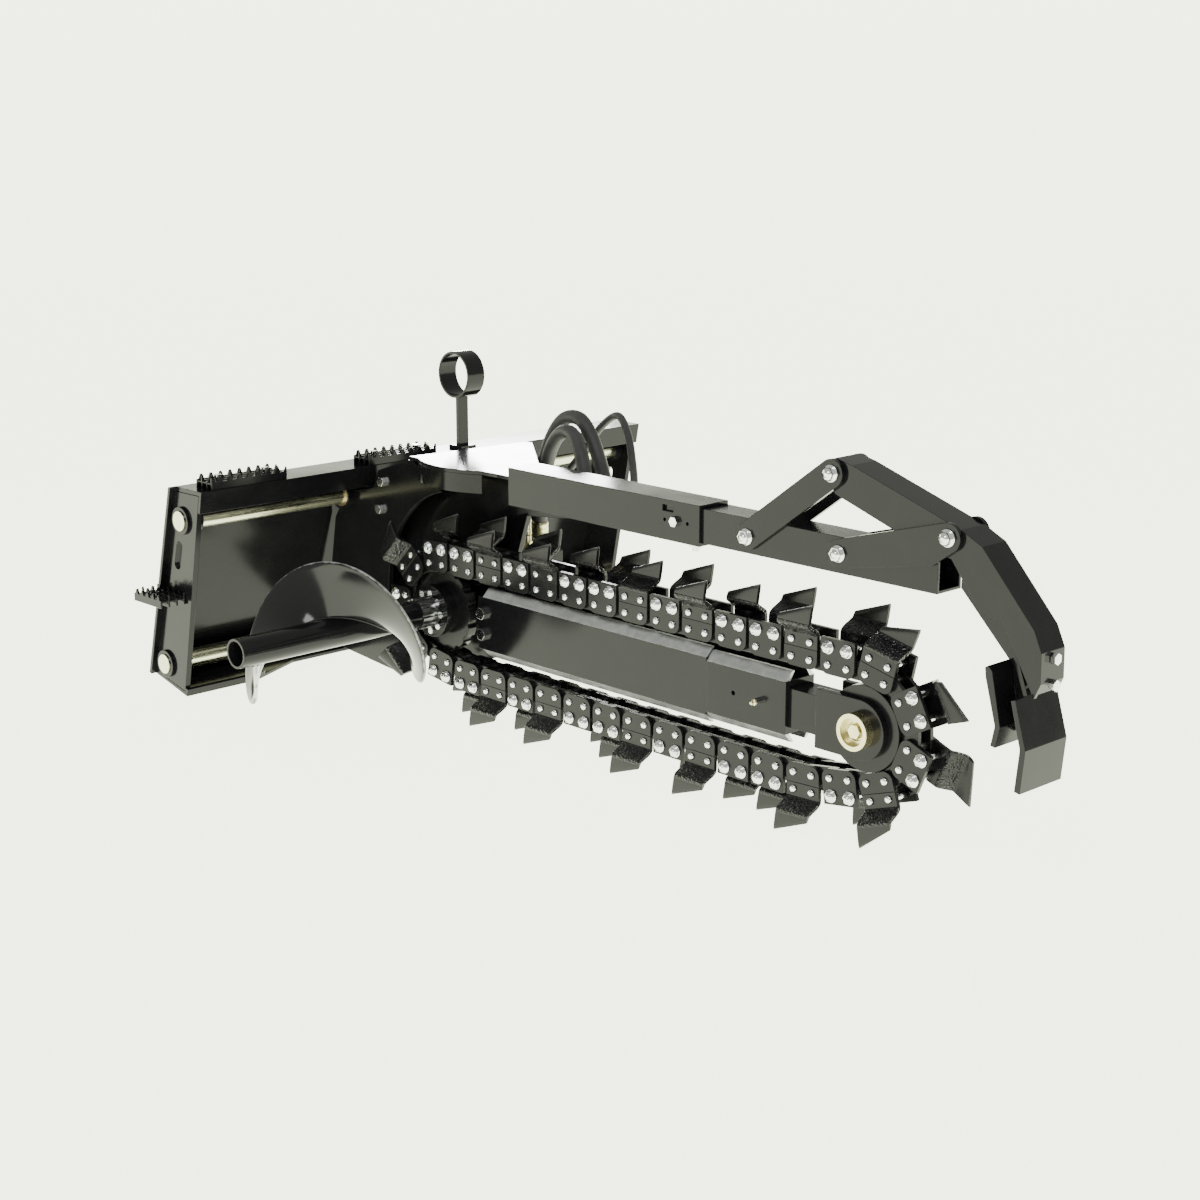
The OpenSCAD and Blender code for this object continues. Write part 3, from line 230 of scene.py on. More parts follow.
class Finish:
    """A node material, built step by step."""

    def __init__(self, name, color, metal=0.0, rough=0.4, coat=0.0, coat_rough=0.05, level=0.5):
        self.material = bpy.data.materials.new(name)
        self.material.use_nodes = True
        self.tree = self.material.node_tree
        self.bsdf = self.tree.nodes["Principled BSDF"]
        self.bsdf.inputs["Base Color"].default_value = (*color, 1)
        self.bsdf.inputs["Metallic"].default_value = metal
        self.bsdf.inputs["Roughness"].default_value = rough
        self.bsdf.inputs["Coat Weight"].default_value = coat
        self.bsdf.inputs["Coat Roughness"].default_value = coat_rough
        self.bsdf.inputs["Specular IOR Level"].default_value = level
        self.coord = self.node("ShaderNodeTexCoord")

    def node(self, kind, **settings):
        made = self.tree.nodes.new(kind)
        for key, value in settings.items():
            setattr(made, key, value)
        return made

    def join(self, source, target):
        self.tree.links.new(source, target)

    def place(self, scale=(1, 1, 1), output="Object"):
        """Object coordinates in metres, times a scale on each axis."""
        mapping = self.node("ShaderNodeMapping")
        mapping.inputs["Scale"].default_value = scale
        self.join(self.coord.outputs[output], mapping.inputs["Vector"])
        return mapping.outputs["Vector"]

    def noise(self, scale, detail=3.0, rough=0.55, vector=None):
        made = self.node("ShaderNodeTexNoise")
        made.inputs["Scale"].default_value = scale
        made.inputs["Detail"].default_value = detail
        made.inputs["Roughness"].default_value = rough
        self.join(vector if vector is not None else self.coord.outputs["Object"], made.inputs["Vector"])
        return made.outputs["Fac"]

    def band(self, value, low, high, to_low=0.0, to_high=1.0):
        """Maps low..high to to_low..to_high, clamped."""
        made = self.node("ShaderNodeMapRange")
        made.inputs["From Min"].default_value = low
        made.inputs["From Max"].default_value = high
        made.inputs["To Min"].default_value = to_low
        made.inputs["To Max"].default_value = to_high
        self.join(value, made.inputs["Value"])
        return made.outputs["Result"]

    def math(self, operation, a, b=None):
        made = self.node("ShaderNodeMath", operation=operation)
        for socket, value in zip(made.inputs, (a, b)):
            if value is None:
                continue
            if isinstance(value, (int, float)):
                socket.default_value = value
            else:
                self.join(value, socket)
        return made.outputs["Value"]

    def blend(self, fac, color_a, color_b):
        made = self.node("ShaderNodeMix", data_type="RGBA")
        self.join(fac, made.inputs[0])
        for socket, value in ((made.inputs[6], color_a), (made.inputs[7], color_b)):
            if isinstance(value, tuple):
                socket.default_value = (*value, 1)
            else:
                self.join(value, socket)
        return made.outputs[2]

    def bumps(self, layers, round_edges=0.0):
        """Bump layers (height, strength, depth in metres), over a normal that rounds the sharp edges."""
        normal = None
        if round_edges:
            edge = self.node("ShaderNodeBevel", samples=4)
            edge.inputs["Radius"].default_value = round_edges
            normal = edge.outputs["Normal"]
        for height, strength, depth in layers:
            bump = self.node("ShaderNodeBump")
            bump.inputs["Strength"].default_value = strength
            bump.inputs["Distance"].default_value = depth
            self.join(height, bump.inputs["Height"])
            if normal is not None:
                self.join(normal, bump.inputs["Normal"])
            normal = bump.outputs["Normal"]
        self.join(normal, self.bsdf.inputs["Normal"])

    def set(self, name, value):
        self.join(value, self.bsdf.inputs[name])


def black_enamel(name, color, rough, edge):
    """Glossy black enamel: faint orange peel, slow sags, and a thin dull haze in patches."""
    haze_depth = 0.003
    f = Finish(name, color, rough=rough, level=0.22)
    peel = f.noise(420, 2)
    sag = f.noise(30, 2)
    haze = f.noise(9, 5, 0.65)
    lighter = tuple(c + haze_depth for c in color)
    f.set("Base Color", f.blend(f.band(haze, 0.45, 0.75), color, lighter))
    f.set("Roughness", f.band(haze, 0.35, 0.75, rough * 0.85, rough * 1.25))
    f.bumps([(peel, 0.05, 0.0003), (sag, 0.05, 0.0012)], edge)
    return f.material


def plated(name, color, other, rough, grain, edge=0.0006):
    """Plated or ground metal: two close tones in patches and fine lines along the given scale."""
    f = Finish(name, color, metal=1.0, rough=rough)
    lines = f.noise(1.0, 3, 0.6, f.place(grain))
    tone = f.noise(60, 3)
    f.set("Base Color", f.blend(f.band(tone, 0.35, 0.7), color, other))
    f.set("Roughness", f.band(lines, 0.3, 0.7, rough * 0.75, rough * 1.35))
    f.bumps([(lines, 0.12, 0.0002)], edge)
    return f.material


def hose_rubber():
    """Matte rubber with the wrap marks of its cover, along the hose's own length."""
    f = Finish("hose_rubber", (0.022, 0.022, 0.024), rough=0.55)
    wrap = f.node("ShaderNodeTexWave", wave_type="BANDS", bands_direction="X")
    wrap.inputs["Scale"].default_value = 60
    wrap.inputs["Distortion"].default_value = 0.6
    f.join(f.place((1, 0.05, 1), "UV"), wrap.inputs["Vector"])
    grit = f.noise(700, 2)
    dust = f.noise(14, 4)
    f.set("Base Color", f.blend(f.band(dust, 0.45, 0.8), (0.02, 0.02, 0.022), (0.045, 0.045, 0.046)))
    f.set("Roughness", f.band(grit, 0.3, 0.7, 0.45, 0.65))
    f.bumps([(wrap.outputs["Fac"], 0.12, 0.0006), (grit, 0.15, 0.0003)])
    return f.material


def cutter_steel():
    """Painted cutter: smooth blade, rubbed upper edge, and drops of hard-facing where V is in the bend."""
    f = Finish("cutter_steel", PAINT_BLACK, rough=0.26, level=0.25)
    split = f.node("ShaderNodeSeparateXYZ")
    f.join(f.coord.outputs["UV"], split.inputs["Vector"])
    drops = f.node("ShaderNodeTexVoronoi", feature="SMOOTH_F1")
    drops.inputs["Scale"].default_value = 260
    f.join(f.coord.outputs["Object"], drops.inputs["Vector"])
    fine = f.noise(520, 3)
    v = split.outputs["Y"]
    facing = f.math("MULTIPLY", f.band(v, 0.29, 0.33), f.band(v, 0.60, 0.55))
    height = f.math("MULTIPLY", facing, f.math("SUBTRACT", 1.0, drops.outputs["Distance"]))
    edge = f.math("MULTIPLY", f.band(v, 0.93, 1.0), f.band(fine, 0.35, 0.6))
    f.set("Base Color", f.blend(edge, PAINT_BLACK, (0.10, 0.10, 0.105)))
    f.set("Roughness", f.band(facing, 0.0, 1.0, 0.26, 0.14))
    f.bumps([(height, 0.9, 0.0030), (fine, 0.1, 0.0002)])
    return f.material


def auger_paint():
    """Black enamel that the spoil has rubbed to grey steel at the rim (V near 1) and at the outer start
    of the flight (U near 0)."""
    f = Finish("auger_paint", PAINT_BLACK, rough=0.14, level=0.35)
    split = f.node("ShaderNodeSeparateXYZ")
    f.join(f.coord.outputs["UV"], split.inputs["Vector"])
    streak = f.noise(1.0, 4, 0.6, f.place((60, 60, 60)))
    ragged = f.math("MULTIPLY", f.band(streak, 0.3, 0.7, -0.5, 0.5), 0.02)
    rim = f.math("ADD", split.outputs["Y"], ragged)
    start = f.band(split.outputs["X"], 0.05, 0.02)
    rubbed_start = f.math("MULTIPLY", start, f.band(streak, 0.3, 0.5))
    worn = f.math("MAXIMUM", f.band(rim, 0.985, 1.0, 0.0, 0.5), rubbed_start)
    f.set("Base Color", f.blend(worn, PAINT_BLACK, (0.55, 0.55, 0.56)))
    f.set("Metallic", f.band(worn, 0.0, 1.0, 0.0, 0.85))
    f.set("Roughness", f.band(worn, 0.0, 1.0, 0.14, 0.3))
    f.bumps([(f.noise(420, 2), 0.05, 0.0003), (f.noise(38, 2), 0.06, 0.0015)])
    return f.material


def pale_floor():
    """Plain pale studio floor with a faint unevenness and a glow of its own."""
    f = Finish("pale_floor", (0.30, 0.31, 0.28), rough=0.9, level=0.0)
    soft = f.noise(2.0, 2)
    f.set("Base Color", f.blend(soft, (0.302, 0.312, 0.282), (0.298, 0.308, 0.278)))
    f.bsdf.inputs["Emission Color"].default_value = (0.96, 1.0, 0.80, 1)
    f.bsdf.inputs["Emission Strength"].default_value = FLOOR_GLOW
    return f.material


paint = black_enamel("black_enamel", (0.005, 0.005, 0.006), 0.15, EDGE)
chain_paint = black_enamel("chain_enamel", PAINT_BLACK, 0.22, CHAIN_EDGE)
cutter = cutter_steel()
rod = plated("zinc_rod", (0.70, 0.69, 0.50), (0.62, 0.62, 0.46), 0.24, (700, 8, 700))
gold = plated("yellow_zinc", (0.72, 0.66, 0.38), (0.60, 0.56, 0.36), 0.28, (500, 500, 500))
bright = plated("bright_zinc", (0.80, 0.81, 0.82), (0.68, 0.69, 0.71), 0.16, (400, 400, 400), edge=0.0008)
worn = plated("worn_rail", (0.42, 0.42, 0.44), (0.56, 0.56, 0.58), 0.34, (6, 900, 900))
machined = plated("machined_steel", (0.35, 0.35, 0.36), (0.25, 0.25, 0.26), 0.3, (500, 40, 500))
bronze = plated("bush_bronze", (0.55, 0.46, 0.28), (0.46, 0.38, 0.24), 0.35, (400, 60, 400))
rubber = hose_rubber()
flight_paint = auger_paint()

BY_SLOT = {
    "black_paint": paint, "chain_black": chain_paint, "cutter_steel": cutter, "zinc_rod": rod,
    "yellow_zinc": gold, "bright_fasteners": bright, "hose_rubber": rubber, "worn_steel": worn,
    "machined_steel": machined, "bush_bronze": bronze,
}
for part in frame["record"]["subparts"]:
    for held in NODES[part["node"]].material_slots:
        held.link = "OBJECT"
        held.material = BY_SLOT[part["material_slot"]]


# ---------------------------------------------------------------- chain path
def chain_point(distance):
    """Point (x, z) on the closed pin path: along the top, round the tip, down a short ramp to the slack run,
    back, up a second ramp and round the drive sprocket."""
    tip = DRIVE + [REACH, DRIVE_R - TIP_R]
    top = DRIVE[1] + DRIVE_R
    tip_bottom = tip[1] - TIP_R
    low = DRIVE[1] - DRIVE_R - SLACK
    ramp_tip = math.hypot(RAMP_TIP, tip_bottom - low)
    ramp_drive = math.hypot(RAMP_DRIVE, SLACK)
    slack_run = REACH - RAMP_TIP - RAMP_DRIVE
    ends = np.cumsum([REACH, math.pi * TIP_R, ramp_tip, slack_run, ramp_drive, math.pi * DRIVE_R])
    s = np.asarray(distance, float) % ends[-1]
    round_tip = math.pi / 2 - (s - ends[0]) / TIP_R
    round_drive = 1.5 * math.pi - (s - ends[4]) / DRIVE_R
    k = (s - ends[1]) / ramp_tip
    m = (s - ends[3]) / ramp_drive
    which = [s < ends[0], s < ends[1], s < ends[2], s < ends[3], s < ends[4], s >= ends[4]]
    x = np.select(which, [
        DRIVE[0] + s, tip[0] + TIP_R * np.cos(round_tip), tip[0] - k * RAMP_TIP,
        tip[0] - RAMP_TIP - (s - ends[2]), DRIVE[0] + RAMP_DRIVE * (1 - m),
        DRIVE[0] + DRIVE_R * np.cos(round_drive)])
    z = np.select(which, [
        top + 0 * s, tip[1] + TIP_R * np.sin(round_tip), tip_bottom + k * (low - tip_bottom),
        low + 0 * s, low + m * SLACK, DRIVE[1] + DRIVE_R * np.sin(round_drive)])
    return np.stack([x, z], -1), ends[-1]


path_length = chain_point(0)[1]
pair_count = round(path_length / (2 * PITCH))
pin_distances = CHAIN_PHASE + np.arange(2 * pair_count + 1) * path_length / (2 * pair_count)
pins, _ = chain_point(pin_distances)
starts = pins[:-1][::2]
runs = pins[1:][::2] - starts
run_length = np.linalg.norm(runs, axis=1)
heading = runs / run_length[:, None]
# each outer link's own frame: X to its next pin, Y across the machine, Z outwards
link_frames = np.zeros((pair_count, 3, 3))
link_frames[:, 0, 0], link_frames[:, 2, 0] = heading[:, 0], heading[:, 1]
link_frames[:, 1, 1] = 1
link_frames[:, 0, 2], link_frames[:, 2, 2] = -heading[:, 1], heading[:, 0]
link_origins = np.stack([starts[:, 0], np.full(pair_count, CHAIN_Y), starts[:, 1]], 1)
pair = np.arange(pair_count)
# which side plate each link's cutter replaces, -1 near and 1 far, and which way its blade is set
cutter_side = np.where((pair % 5 == 1) | (pair % 5 == 3), -1, 1)
blade_set = np.where((pair % 5 == 4) | (pair % 7 == 6), -1, 1)


# ---------------------------------------------------------------- chain fasteners
# profiles for turned(): radius, height, and for nuts how much of the hexagon the ring takes
DOME = [(0.0062, 0.0), (0.0070, 0.0008), (0.0068, 0.0026), (0.0052, 0.0041), (0.0022, 0.0047)]
HEX_HEAD = [
    (0.0120, 0.0, 0), (0.0126, 0.0012, 0), (0.0118, 0.0020, 0), (0.0094, 0.0022, 1),
    (0.0094, 0.0068, 1), (0.0080, 0.0080, 0), (0.0052, 0.0082, 0), (0.0050, 0.0104, 0),
    (0.0038, 0.0112, 0)]
DOME_SIDES = 16
PIN_R = 0.0065
CUTTER_BOLT_R = 0.006
FAR_FACE = frame_to((0, 1, 0))
NEAR_FACE = frame_to((0, -1, 0))


def on_faces(shape, places, side, face):
    """Puts a fastener on the side plate's outer face at each place, side -1 being near and 1 far."""
    points, faces = shape
    side = np.broadcast_to(side, len(places))
    shift = np.zeros((len(places), 3))
    shift[:, 1] = side * face
    frames = np.where((side < 0)[:, None, None], NEAR_FACE, FAR_FACE)
    return copies(points, faces, frames, places + shift)


def shafts(places, radius, face):
    """Plain round bars through the chain at each place."""
    bar = turned([(radius, -face), (radius, face)], 12)
    return copies(*bar, np.repeat(FAR_FACE[None], len(places), 0), places)


FASTENER_FACE = CHAIN_HALF + 0.00005
pin_places = np.stack([pins[:-1, 0], np.full(2 * pair_count, CHAIN_Y), pins[:-1, 1]], 1)
pin_shapes = [
    on_faces(turned(DOME, DOME_SIDES), pin_places, -1, FASTENER_FACE),
    on_faces(turned(DOME, DOME_SIDES), pin_places, 1, FASTENER_FACE),
    shafts(pin_places, PIN_R, FASTENER_FACE)]
add_piece("chain_pin_heads", *merged(pin_shapes), "headstock", bright, ["chain_pins"], "bright_fasteners")

# a cutter's two bolts stand over its link's two pins
bolt_x = np.stack([np.zeros(pair_count), run_length], 1)
bolt_in_link = np.stack([bolt_x, np.zeros_like(bolt_x), np.full_like(bolt_x, BOLT_ROW)], -1)
bolt_turned = np.einsum("kij,knj->kni", link_frames, bolt_in_link)
bolt_places = (link_origins[:, None, :] + bolt_turned).reshape(-1, 3)
bolt_side = np.repeat(cutter_side, 2)
bolt_shapes = [
    on_faces(turned(DOME, DOME_SIDES), bolt_places, bolt_side, FASTENER_FACE),
    on_faces(turned(HEX_HEAD, 24, 6), bolt_places, -bolt_side, FASTENER_FACE),
    shafts(bolt_places, CUTTER_BOLT_R, FASTENER_FACE)]
add_piece("cutter_bolts_and_nuts", *merged(bolt_shapes), "headstock", bright, ["cutter_bolts"],
          "bright_fasteners")


# ---------------------------------------------------------------- cutters
def cutter_plate(side, set_way):
    """One cutter in its link's frame. Across the chain its middle line stands at
    o(z) = o0 + set * (sqrt(t^2 + e) - sqrt((t - 1)^2 + e) + 1) / 2, t = (z - BEND_Z) / BEND_H,
    which is a straight set with rounded bends. The thickness lies square to that line and thins to 55% at
    the upper edge. Seen across the machine its ends lean forward above the bend, and its upper edge rises
    from the rear to the front corner."""
    level = np.concatenate([np.linspace(CUTTER_LOW, 0.043, 4), np.linspace(0.045, BLADE_FOOT, 20)])
    rise = np.linspace(0, 1, 7)[1:]
    across = np.linspace(0, 1, 12)
    edge_z = BLADE_REAR + (BLADE_TOP - BLADE_REAR) * across
    z = np.concatenate([np.broadcast_to(level[:, None], (len(level), len(across))),
                        BLADE_FOOT + (edge_z - BLADE_FOOT)[None, :] * rise[:, None]])
    rear = np.interp(z[:, 0], [0.055, BLADE_REAR], [-0.017, -0.009])
    front = np.interp(z[:, -1], [0.052, BLADE_TOP], [PITCH + 0.017, PITCH + 0.026])
    x = rear[:, None] + (front - rear)[:, None] * across[None, :]
    t = (z - BEND_Z) / BEND_H
    low_bend = np.sqrt(t**2 + BEND_ROUNDING)
    high_bend = np.sqrt((t - 1)**2 + BEND_ROUNDING)
    o = OUTER_FACE + LINK_T / 2 + set_way * CUTTER_SET * (low_bend - high_bend + 1) / 2
    slope = set_way * CUTTER_SET / BEND_H * (t / low_bend - (t - 1) / high_bend) / 2
    size = np.sqrt(1 + slope**2)
    near_edge = np.clip((z - edge_z + EDGE_BEVEL) / EDGE_BEVEL, 0, 1)
    half = LINK_T / 2 * (1.0 - 0.45 * near_edge)

    def sheet(sign):
        return np.stack([x, side * (o + sign * half / size), z - sign * half * slope / size], -1)

    outer, inner = sheet(1), sheet(-1)
    rows, cols = x.shape
    loop = np.concatenate([outer, inner[:, ::-1]], 1)
    v = (z - CUTTER_LOW) / (BLADE_TOP - CUTTER_LOW)
    v[-1] = 1.0
    u = np.broadcast_to(across[None, :], v.shape)
    loop_u = np.concatenate([u, u[:, ::-1]], 1)
    loop_v = np.concatenate([v, v[:, ::-1]], 1)
    uv = np.stack([loop_u, loop_v], -1).reshape(-1, 2)
    walls = grid_faces(rows, 2 * cols, close_cols=True)

    def cap(start, flip):
        a = np.arange(start, start + cols)
        b = np.arange(start + cols, start + 2 * cols)[::-1]
        quads = np.stack([a[:-1], a[1:], b[1:], b[:-1]], 1)
        return quads[:, ::-1] if flip else quads

    shape = [walls, cap(0, True), cap((rows - 1) * 2 * cols, False)]
    if side > 0:
        shape = [f[:, ::-1] for f in shape]
    return loop.reshape(-1, 3), shape, uv


def cutters(side, node):
    """All the cutters of one side, blades set in and out, as one piece."""
    shapes, uvs = [], []
    for way in (-1, 1):
        which = (cutter_side == side) & (blade_set == way)
        points, faces, uv = cutter_plate(side, way)
        shapes.append(copies(points, faces, link_frames[which], link_origins[which]))
        uvs.append(np.tile(uv, (which.sum(), 1)))
    piece = add_piece(node + "_bent", *merged(shapes), "headstock", cutter, [node], "cutter_steel",
                      uv=np.concatenate(uvs))
    soften(piece, 0.0012, 2, 40)


cutters(-1, "near_cutters")
cutters(1, "far_cutters")


# ---------------------------------------------------------------- auger
AUGER_Y0 = -0.735
FLIGHT_LEN = 0.390
FLIGHT_R = 0.146
FLIGHT_HALF_T = 0.0045
TUBE_R = 0.0301
RIM_START = TUBE_R + 0.024
RIM_GROWTH = 9


def auger_flight():
    """One turn of a helicoid: angle and Y advance together, and at both ends the rim draws in towards the
    tube on a quarter circle. A section across the plate is a flat band with a rounded rim."""
    turns = np.linspace(0, 1, 181)
    grow = np.clip(np.minimum(turns, 1 - turns) * RIM_GROWTH, 0, 1)
    rim = RIM_START + (FLIGHT_R - RIM_START) * np.sqrt(1 - (1 - grow) ** 2)
    angle = -math.pi / 2 - 2 * math.pi * turns
    half = FLIGHT_HALF_T
    radial = np.linspace(0, 1, 14)
    bulge = np.linspace(-math.pi / 2, math.pi / 2, 7)

    def row(k_r, offset):
        r = TUBE_R + (rim - TUBE_R - half)[:, None] * k_r[None, :]
        return r, np.broadcast_to(offset, r.shape)

    lower_r, lower_y = row(radial, -half)
    upper_r, upper_y = row(radial[::-1], half)
    round_r = (rim - half)[:, None] + half * np.cos(bulge)[None, 1:-1]
    round_y = np.broadcast_to(half * np.sin(bulge)[1:-1], round_r.shape)
    r = np.concatenate([lower_r, round_r, upper_r], 1)
    dy = np.concatenate([lower_y, round_y, upper_y], 1)
    x = DRIVE[0] + r * np.cos(angle)[:, None]
    z = DRIVE[1] + r * np.sin(angle)[:, None]
    y = AUGER_Y0 + FLIGHT_LEN * turns[:, None] + half + dy
    rows, cols = r.shape
    points = np.stack([x, y, z], -1).reshape(-1, 3)
    uv = np.stack([np.broadcast_to(turns[:, None], r.shape), r / FLIGHT_R], -1).reshape(-1, 2)
    walls = grid_faces(rows, cols, close_cols=True)
    ends = [np.arange(cols)[::-1][None, :], (np.arange(cols) + (rows - 1) * cols)[None, :]]
    return points, [walls] + ends, uv


points, faces, uv = auger_flight()
flight = add_piece("auger_flight_rolled", points, faces, "auger_drive", flight_paint, ["auger_flight"],
                   "black_paint", uv=uv)
soften(flight, 0.001, 2, 60)


WELD_R = 0.003
WELD_RIPPLE = 0.0035
WELD_PATH_R = 0.0312
WELD_OFFSETS = (-0.001, 0.010)


def weld(path):
    """A weld bead: a round bar along the path whose radius swells by a tenth once for each ripple."""
    length = np.concatenate([[0], np.cumsum(np.linalg.norm(np.diff(path, axis=0), axis=1))])
    return swept(path, WELD_R * (1 + 0.10 * np.sin(2 * math.pi * length / WELD_RIPPLE)), 8)[:2]


turn = np.linspace(0, 1, 400)
root_angle = -math.pi / 2 - 2 * math.pi * turn
beads = []
for offset in WELD_OFFSETS:
    root = np.stack([DRIVE[0] + WELD_PATH_R * np.cos(root_angle), AUGER_Y0 + FLIGHT_LEN * turn + offset,
                     DRIVE[1] + WELD_PATH_R * np.sin(root_angle)], 1)
    beads.append(weld(root))
add_piece("auger_welds", *merged(beads), "auger_drive", paint, (), "black_paint")

# ---------------------------------------------------------------- hoses
# each hose's radius in metres and its route's points in millimetres, from the motor to the drive plate
HOSES = {
    "pressure_hose": (0.015, [
        (448, 0, 76), (448, 0, 112), (474, 2, 176), (506, 6, 237), (530, 10, 300), (568, 12, 344),
        (620, 8, 350), (664, 0, 318), (702, -14, 276), (742, -36, 242), (786, -62, 224),
        (818, -88, 222), (830, -112, 228), (830, -130, 228)]),
    "return_hose": (0.015, [
        (502, 0, 76), (502, 0, 116), (520, -8, 176), (540, -16, 236), (566, -22, 290), (604, -28, 324),
        (650, -40, 326), (690, -56, 296), (722, -74, 258), (745, -92, 230), (764, -106, 216),
        (775, -118, 212),
        (775, -130, 212)]),
    "drain_hose": (0.008, [
        (475, 28, 76), (475, 28, 112), (512, 44, 190), (570, 58, 262), (630, 62, 330), (690, 52, 360),
        (746, 26, 330), (796, -10, 284), (842, -50, 246), (872, -88, 226), (880, -114, 222),
        (880, -130, 222)]),
}
# a crimped sleeve's radius along its length, as shares of the hose's radius
CRIMP = np.array([1.08, 1.20, 1.20, 1.14, 1.20, 1.20, 1.14, 1.20, 1.20, 1.14, 1.20, 1.20, 1.10])
CRIMP_STEPS = 14
for name, (radius, knots) in HOSES.items():
    route = smooth_route(np.array(knots) / 1000, 160)
    points, faces, uv = swept(route, radius, 28)
    add_piece(name + "_cover", points, faces, "headstock", rubber, [name], "hose_rubber", uv=uv)
    crimps = []
    for stretch in (route[:CRIMP_STEPS], route[::-1][:CRIMP_STEPS]):
        along = np.linspace(0, len(stretch) - 1, len(CRIMP))
        line = np.stack([np.interp(along, np.arange(len(stretch)), stretch[:, k]) for k in range(3)], 1)
        crimps.append(swept(line, radius * CRIMP, 24)[:2])
    add_piece(name + "_crimps", *merged(crimps), "headstock", gold, (), "yellow_zinc")

# ---------------------------------------------------------------- other fasteners
FLANGED = [
    (0.0150, 0.0, 0), (0.0156, 0.0012, 0), (0.0146, 0.0026, 0), (0.0112, 0.0030, 1),
    (0.0112, 0.0085, 1), (0.0096, 0.0104, 0), (0.0060, 0.0106, 0), (0.0056, 0.0125, 0),
    (0.0044, 0.0132, 0)]
LINK_FACE = 0.0403
NUT_GAP = 0.0001


def flanged_nuts(name, places, body):
    """Flanged nuts with the bolt's end standing out, on faces given as (place, direction)."""
    points, faces = turned(FLANGED, 36, 6)
    frames = [frame_to(way) for _, way in places]
    origins = [place for place, _ in places]
    add_piece(name, *copies(points, faces, frames, origins), body, bright, (), "bright_fasteners")


# the crumber's pivots (x, z), by the body that their nuts ride on
PIVOTS = {
    "crumber_bar": [(1.363, 0.260), (1.575, 0.264)],
    "rear_links": [(1.5542, 0.400)],
    "front_links": [(1.80327, 0.32773)],
}
for body, spots in PIVOTS.items():
    places = [((x, CHAIN_Y + side * (LINK_FACE + NUT_GAP), z), (0, side, 0))
              for x, z in spots for side in (-1, 1)]
    flanged_nuts(body + "_pivot_nuts", places, body)

# ---------------------------------------------------------------- serrated treads
TOOTH_DEPTH = 0.010
STRIP_T = 0.0045
STRIP_ROWS = 4
FLOOR_UNDER_TEETH = 0.016
FLOOR_T = 0.004
TOP_TREAD_LEN = 0.190
TOP_TOOTH_PITCH = 0.02375
SIDE_TREAD_LEN = 0.061
SIDE_TOOTH_PITCH = 0.0208


def box_shape(low, high):
    """A closed box between two corners."""
    corner = np.array([[i, j, k] for k in (0, 1) for j in (0, 1) for i in (0, 1)])
    faces = np.array([[0, 2, 3, 1], [4, 5, 7, 6], [0, 1, 5, 4], [2, 6, 7, 3], [0, 4, 6, 2], [1, 3, 7, 5]])
    return np.asarray(low) + corner * (np.asarray(high) - np.asarray(low)), faces


def serrated_strip(length, height, thick, pitch, shift):
    """An upright strip along Y whose top edge is a row of teeth with sloping flanks: a trapezoid wave,
    half a pitch further along where shift is 1."""
    steps = int(round(length / pitch)) * 12
    y = np.linspace(0, length, steps + 1)
    wave = np.clip(1.6 - 6.4 * np.abs((y / pitch + shift / 2) % 1 - 0.5), 0, 1)
    top = height - TOOTH_DEPTH * (1 - wave)
    side = np.zeros((len(y), 2, 2, 3))
    side[..., 1] = y[:, None, None]
    side[:, :, 1, 0] = thick
    side[:, 1, :, 2] = top[:, None]
    ring = side[:, [0, 0, 1, 1], [0, 1, 1, 0]]
    walls = grid_faces(len(y), 4, close_cols=True)[:, ::-1]
    start = np.array([[0, 1, 2, 3]])
    end = start[:, ::-1] + 4 * (len(y) - 1)
    return ring.reshape(-1, 3), [walls, start, end]


def tread(low, high, pitch, turned_round=False):
    """A grip tread between two corners: a floor plate with rows of serrated strips. Turned round, the
    strips run along X instead of Y."""
    depth, length, height = np.asarray(high) - np.asarray(low)
    if turned_round:
        depth, length = length, depth
    floor_low = height - FLOOR_UNDER_TEETH
    plate, sides = box_shape([0.001, 0.0005, floor_low],
                             [depth - 0.001, length - 0.0005, floor_low + FLOOR_T])
    shapes = [(plate, [sides])]
    for row in range(STRIP_ROWS):
        x = (depth - STRIP_T) * row / (STRIP_ROWS - 1)
        points, faces = serrated_strip(length, height, STRIP_T, pitch, row % 2)
        shapes.append((points + [x, 0, 0], faces))
    points, faces = merged(shapes)
    if turned_round:
        points = points[:, [1, 0, 2]]
        faces = [f[:, ::-1] for f in faces]
    return points + low, faces


step_low, step_high = np.array(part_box("top_steps"))
side_low, side_high = np.array(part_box("side_steps"))
near_end = [step_high[0], step_low[1] + TOP_TREAD_LEN, step_high[2]]
far_start = [step_low[0], step_high[1] - TOP_TREAD_LEN, step_low[2]]
both_treads = [tread(step_low, near_end, TOP_TOOTH_PITCH), tread(far_start, step_high, TOP_TOOTH_PITCH)]
top_treads = add_piece("top_step_treads", *merged(both_treads), "frame", paint, ["top_steps"],
                       "black_paint", smooth=False)
near_end = [side_high[0], side_low[1] + SIDE_TREAD_LEN, side_high[2]]
far_start = [side_low[0], side_high[1] - SIDE_TREAD_LEN, side_low[2]]
both_treads = [tread(side_low, near_end, SIDE_TOOTH_PITCH, True),
               tread(far_start, side_high, SIDE_TOOTH_PITCH, True)]
side_treads = add_piece("side_step_treads", *merged(both_treads), "frame", paint, ["side_steps"],
                        "black_paint", smooth=False)
for treads in (top_treads, side_treads):
    soften(treads, 0.0007, 1, 30)

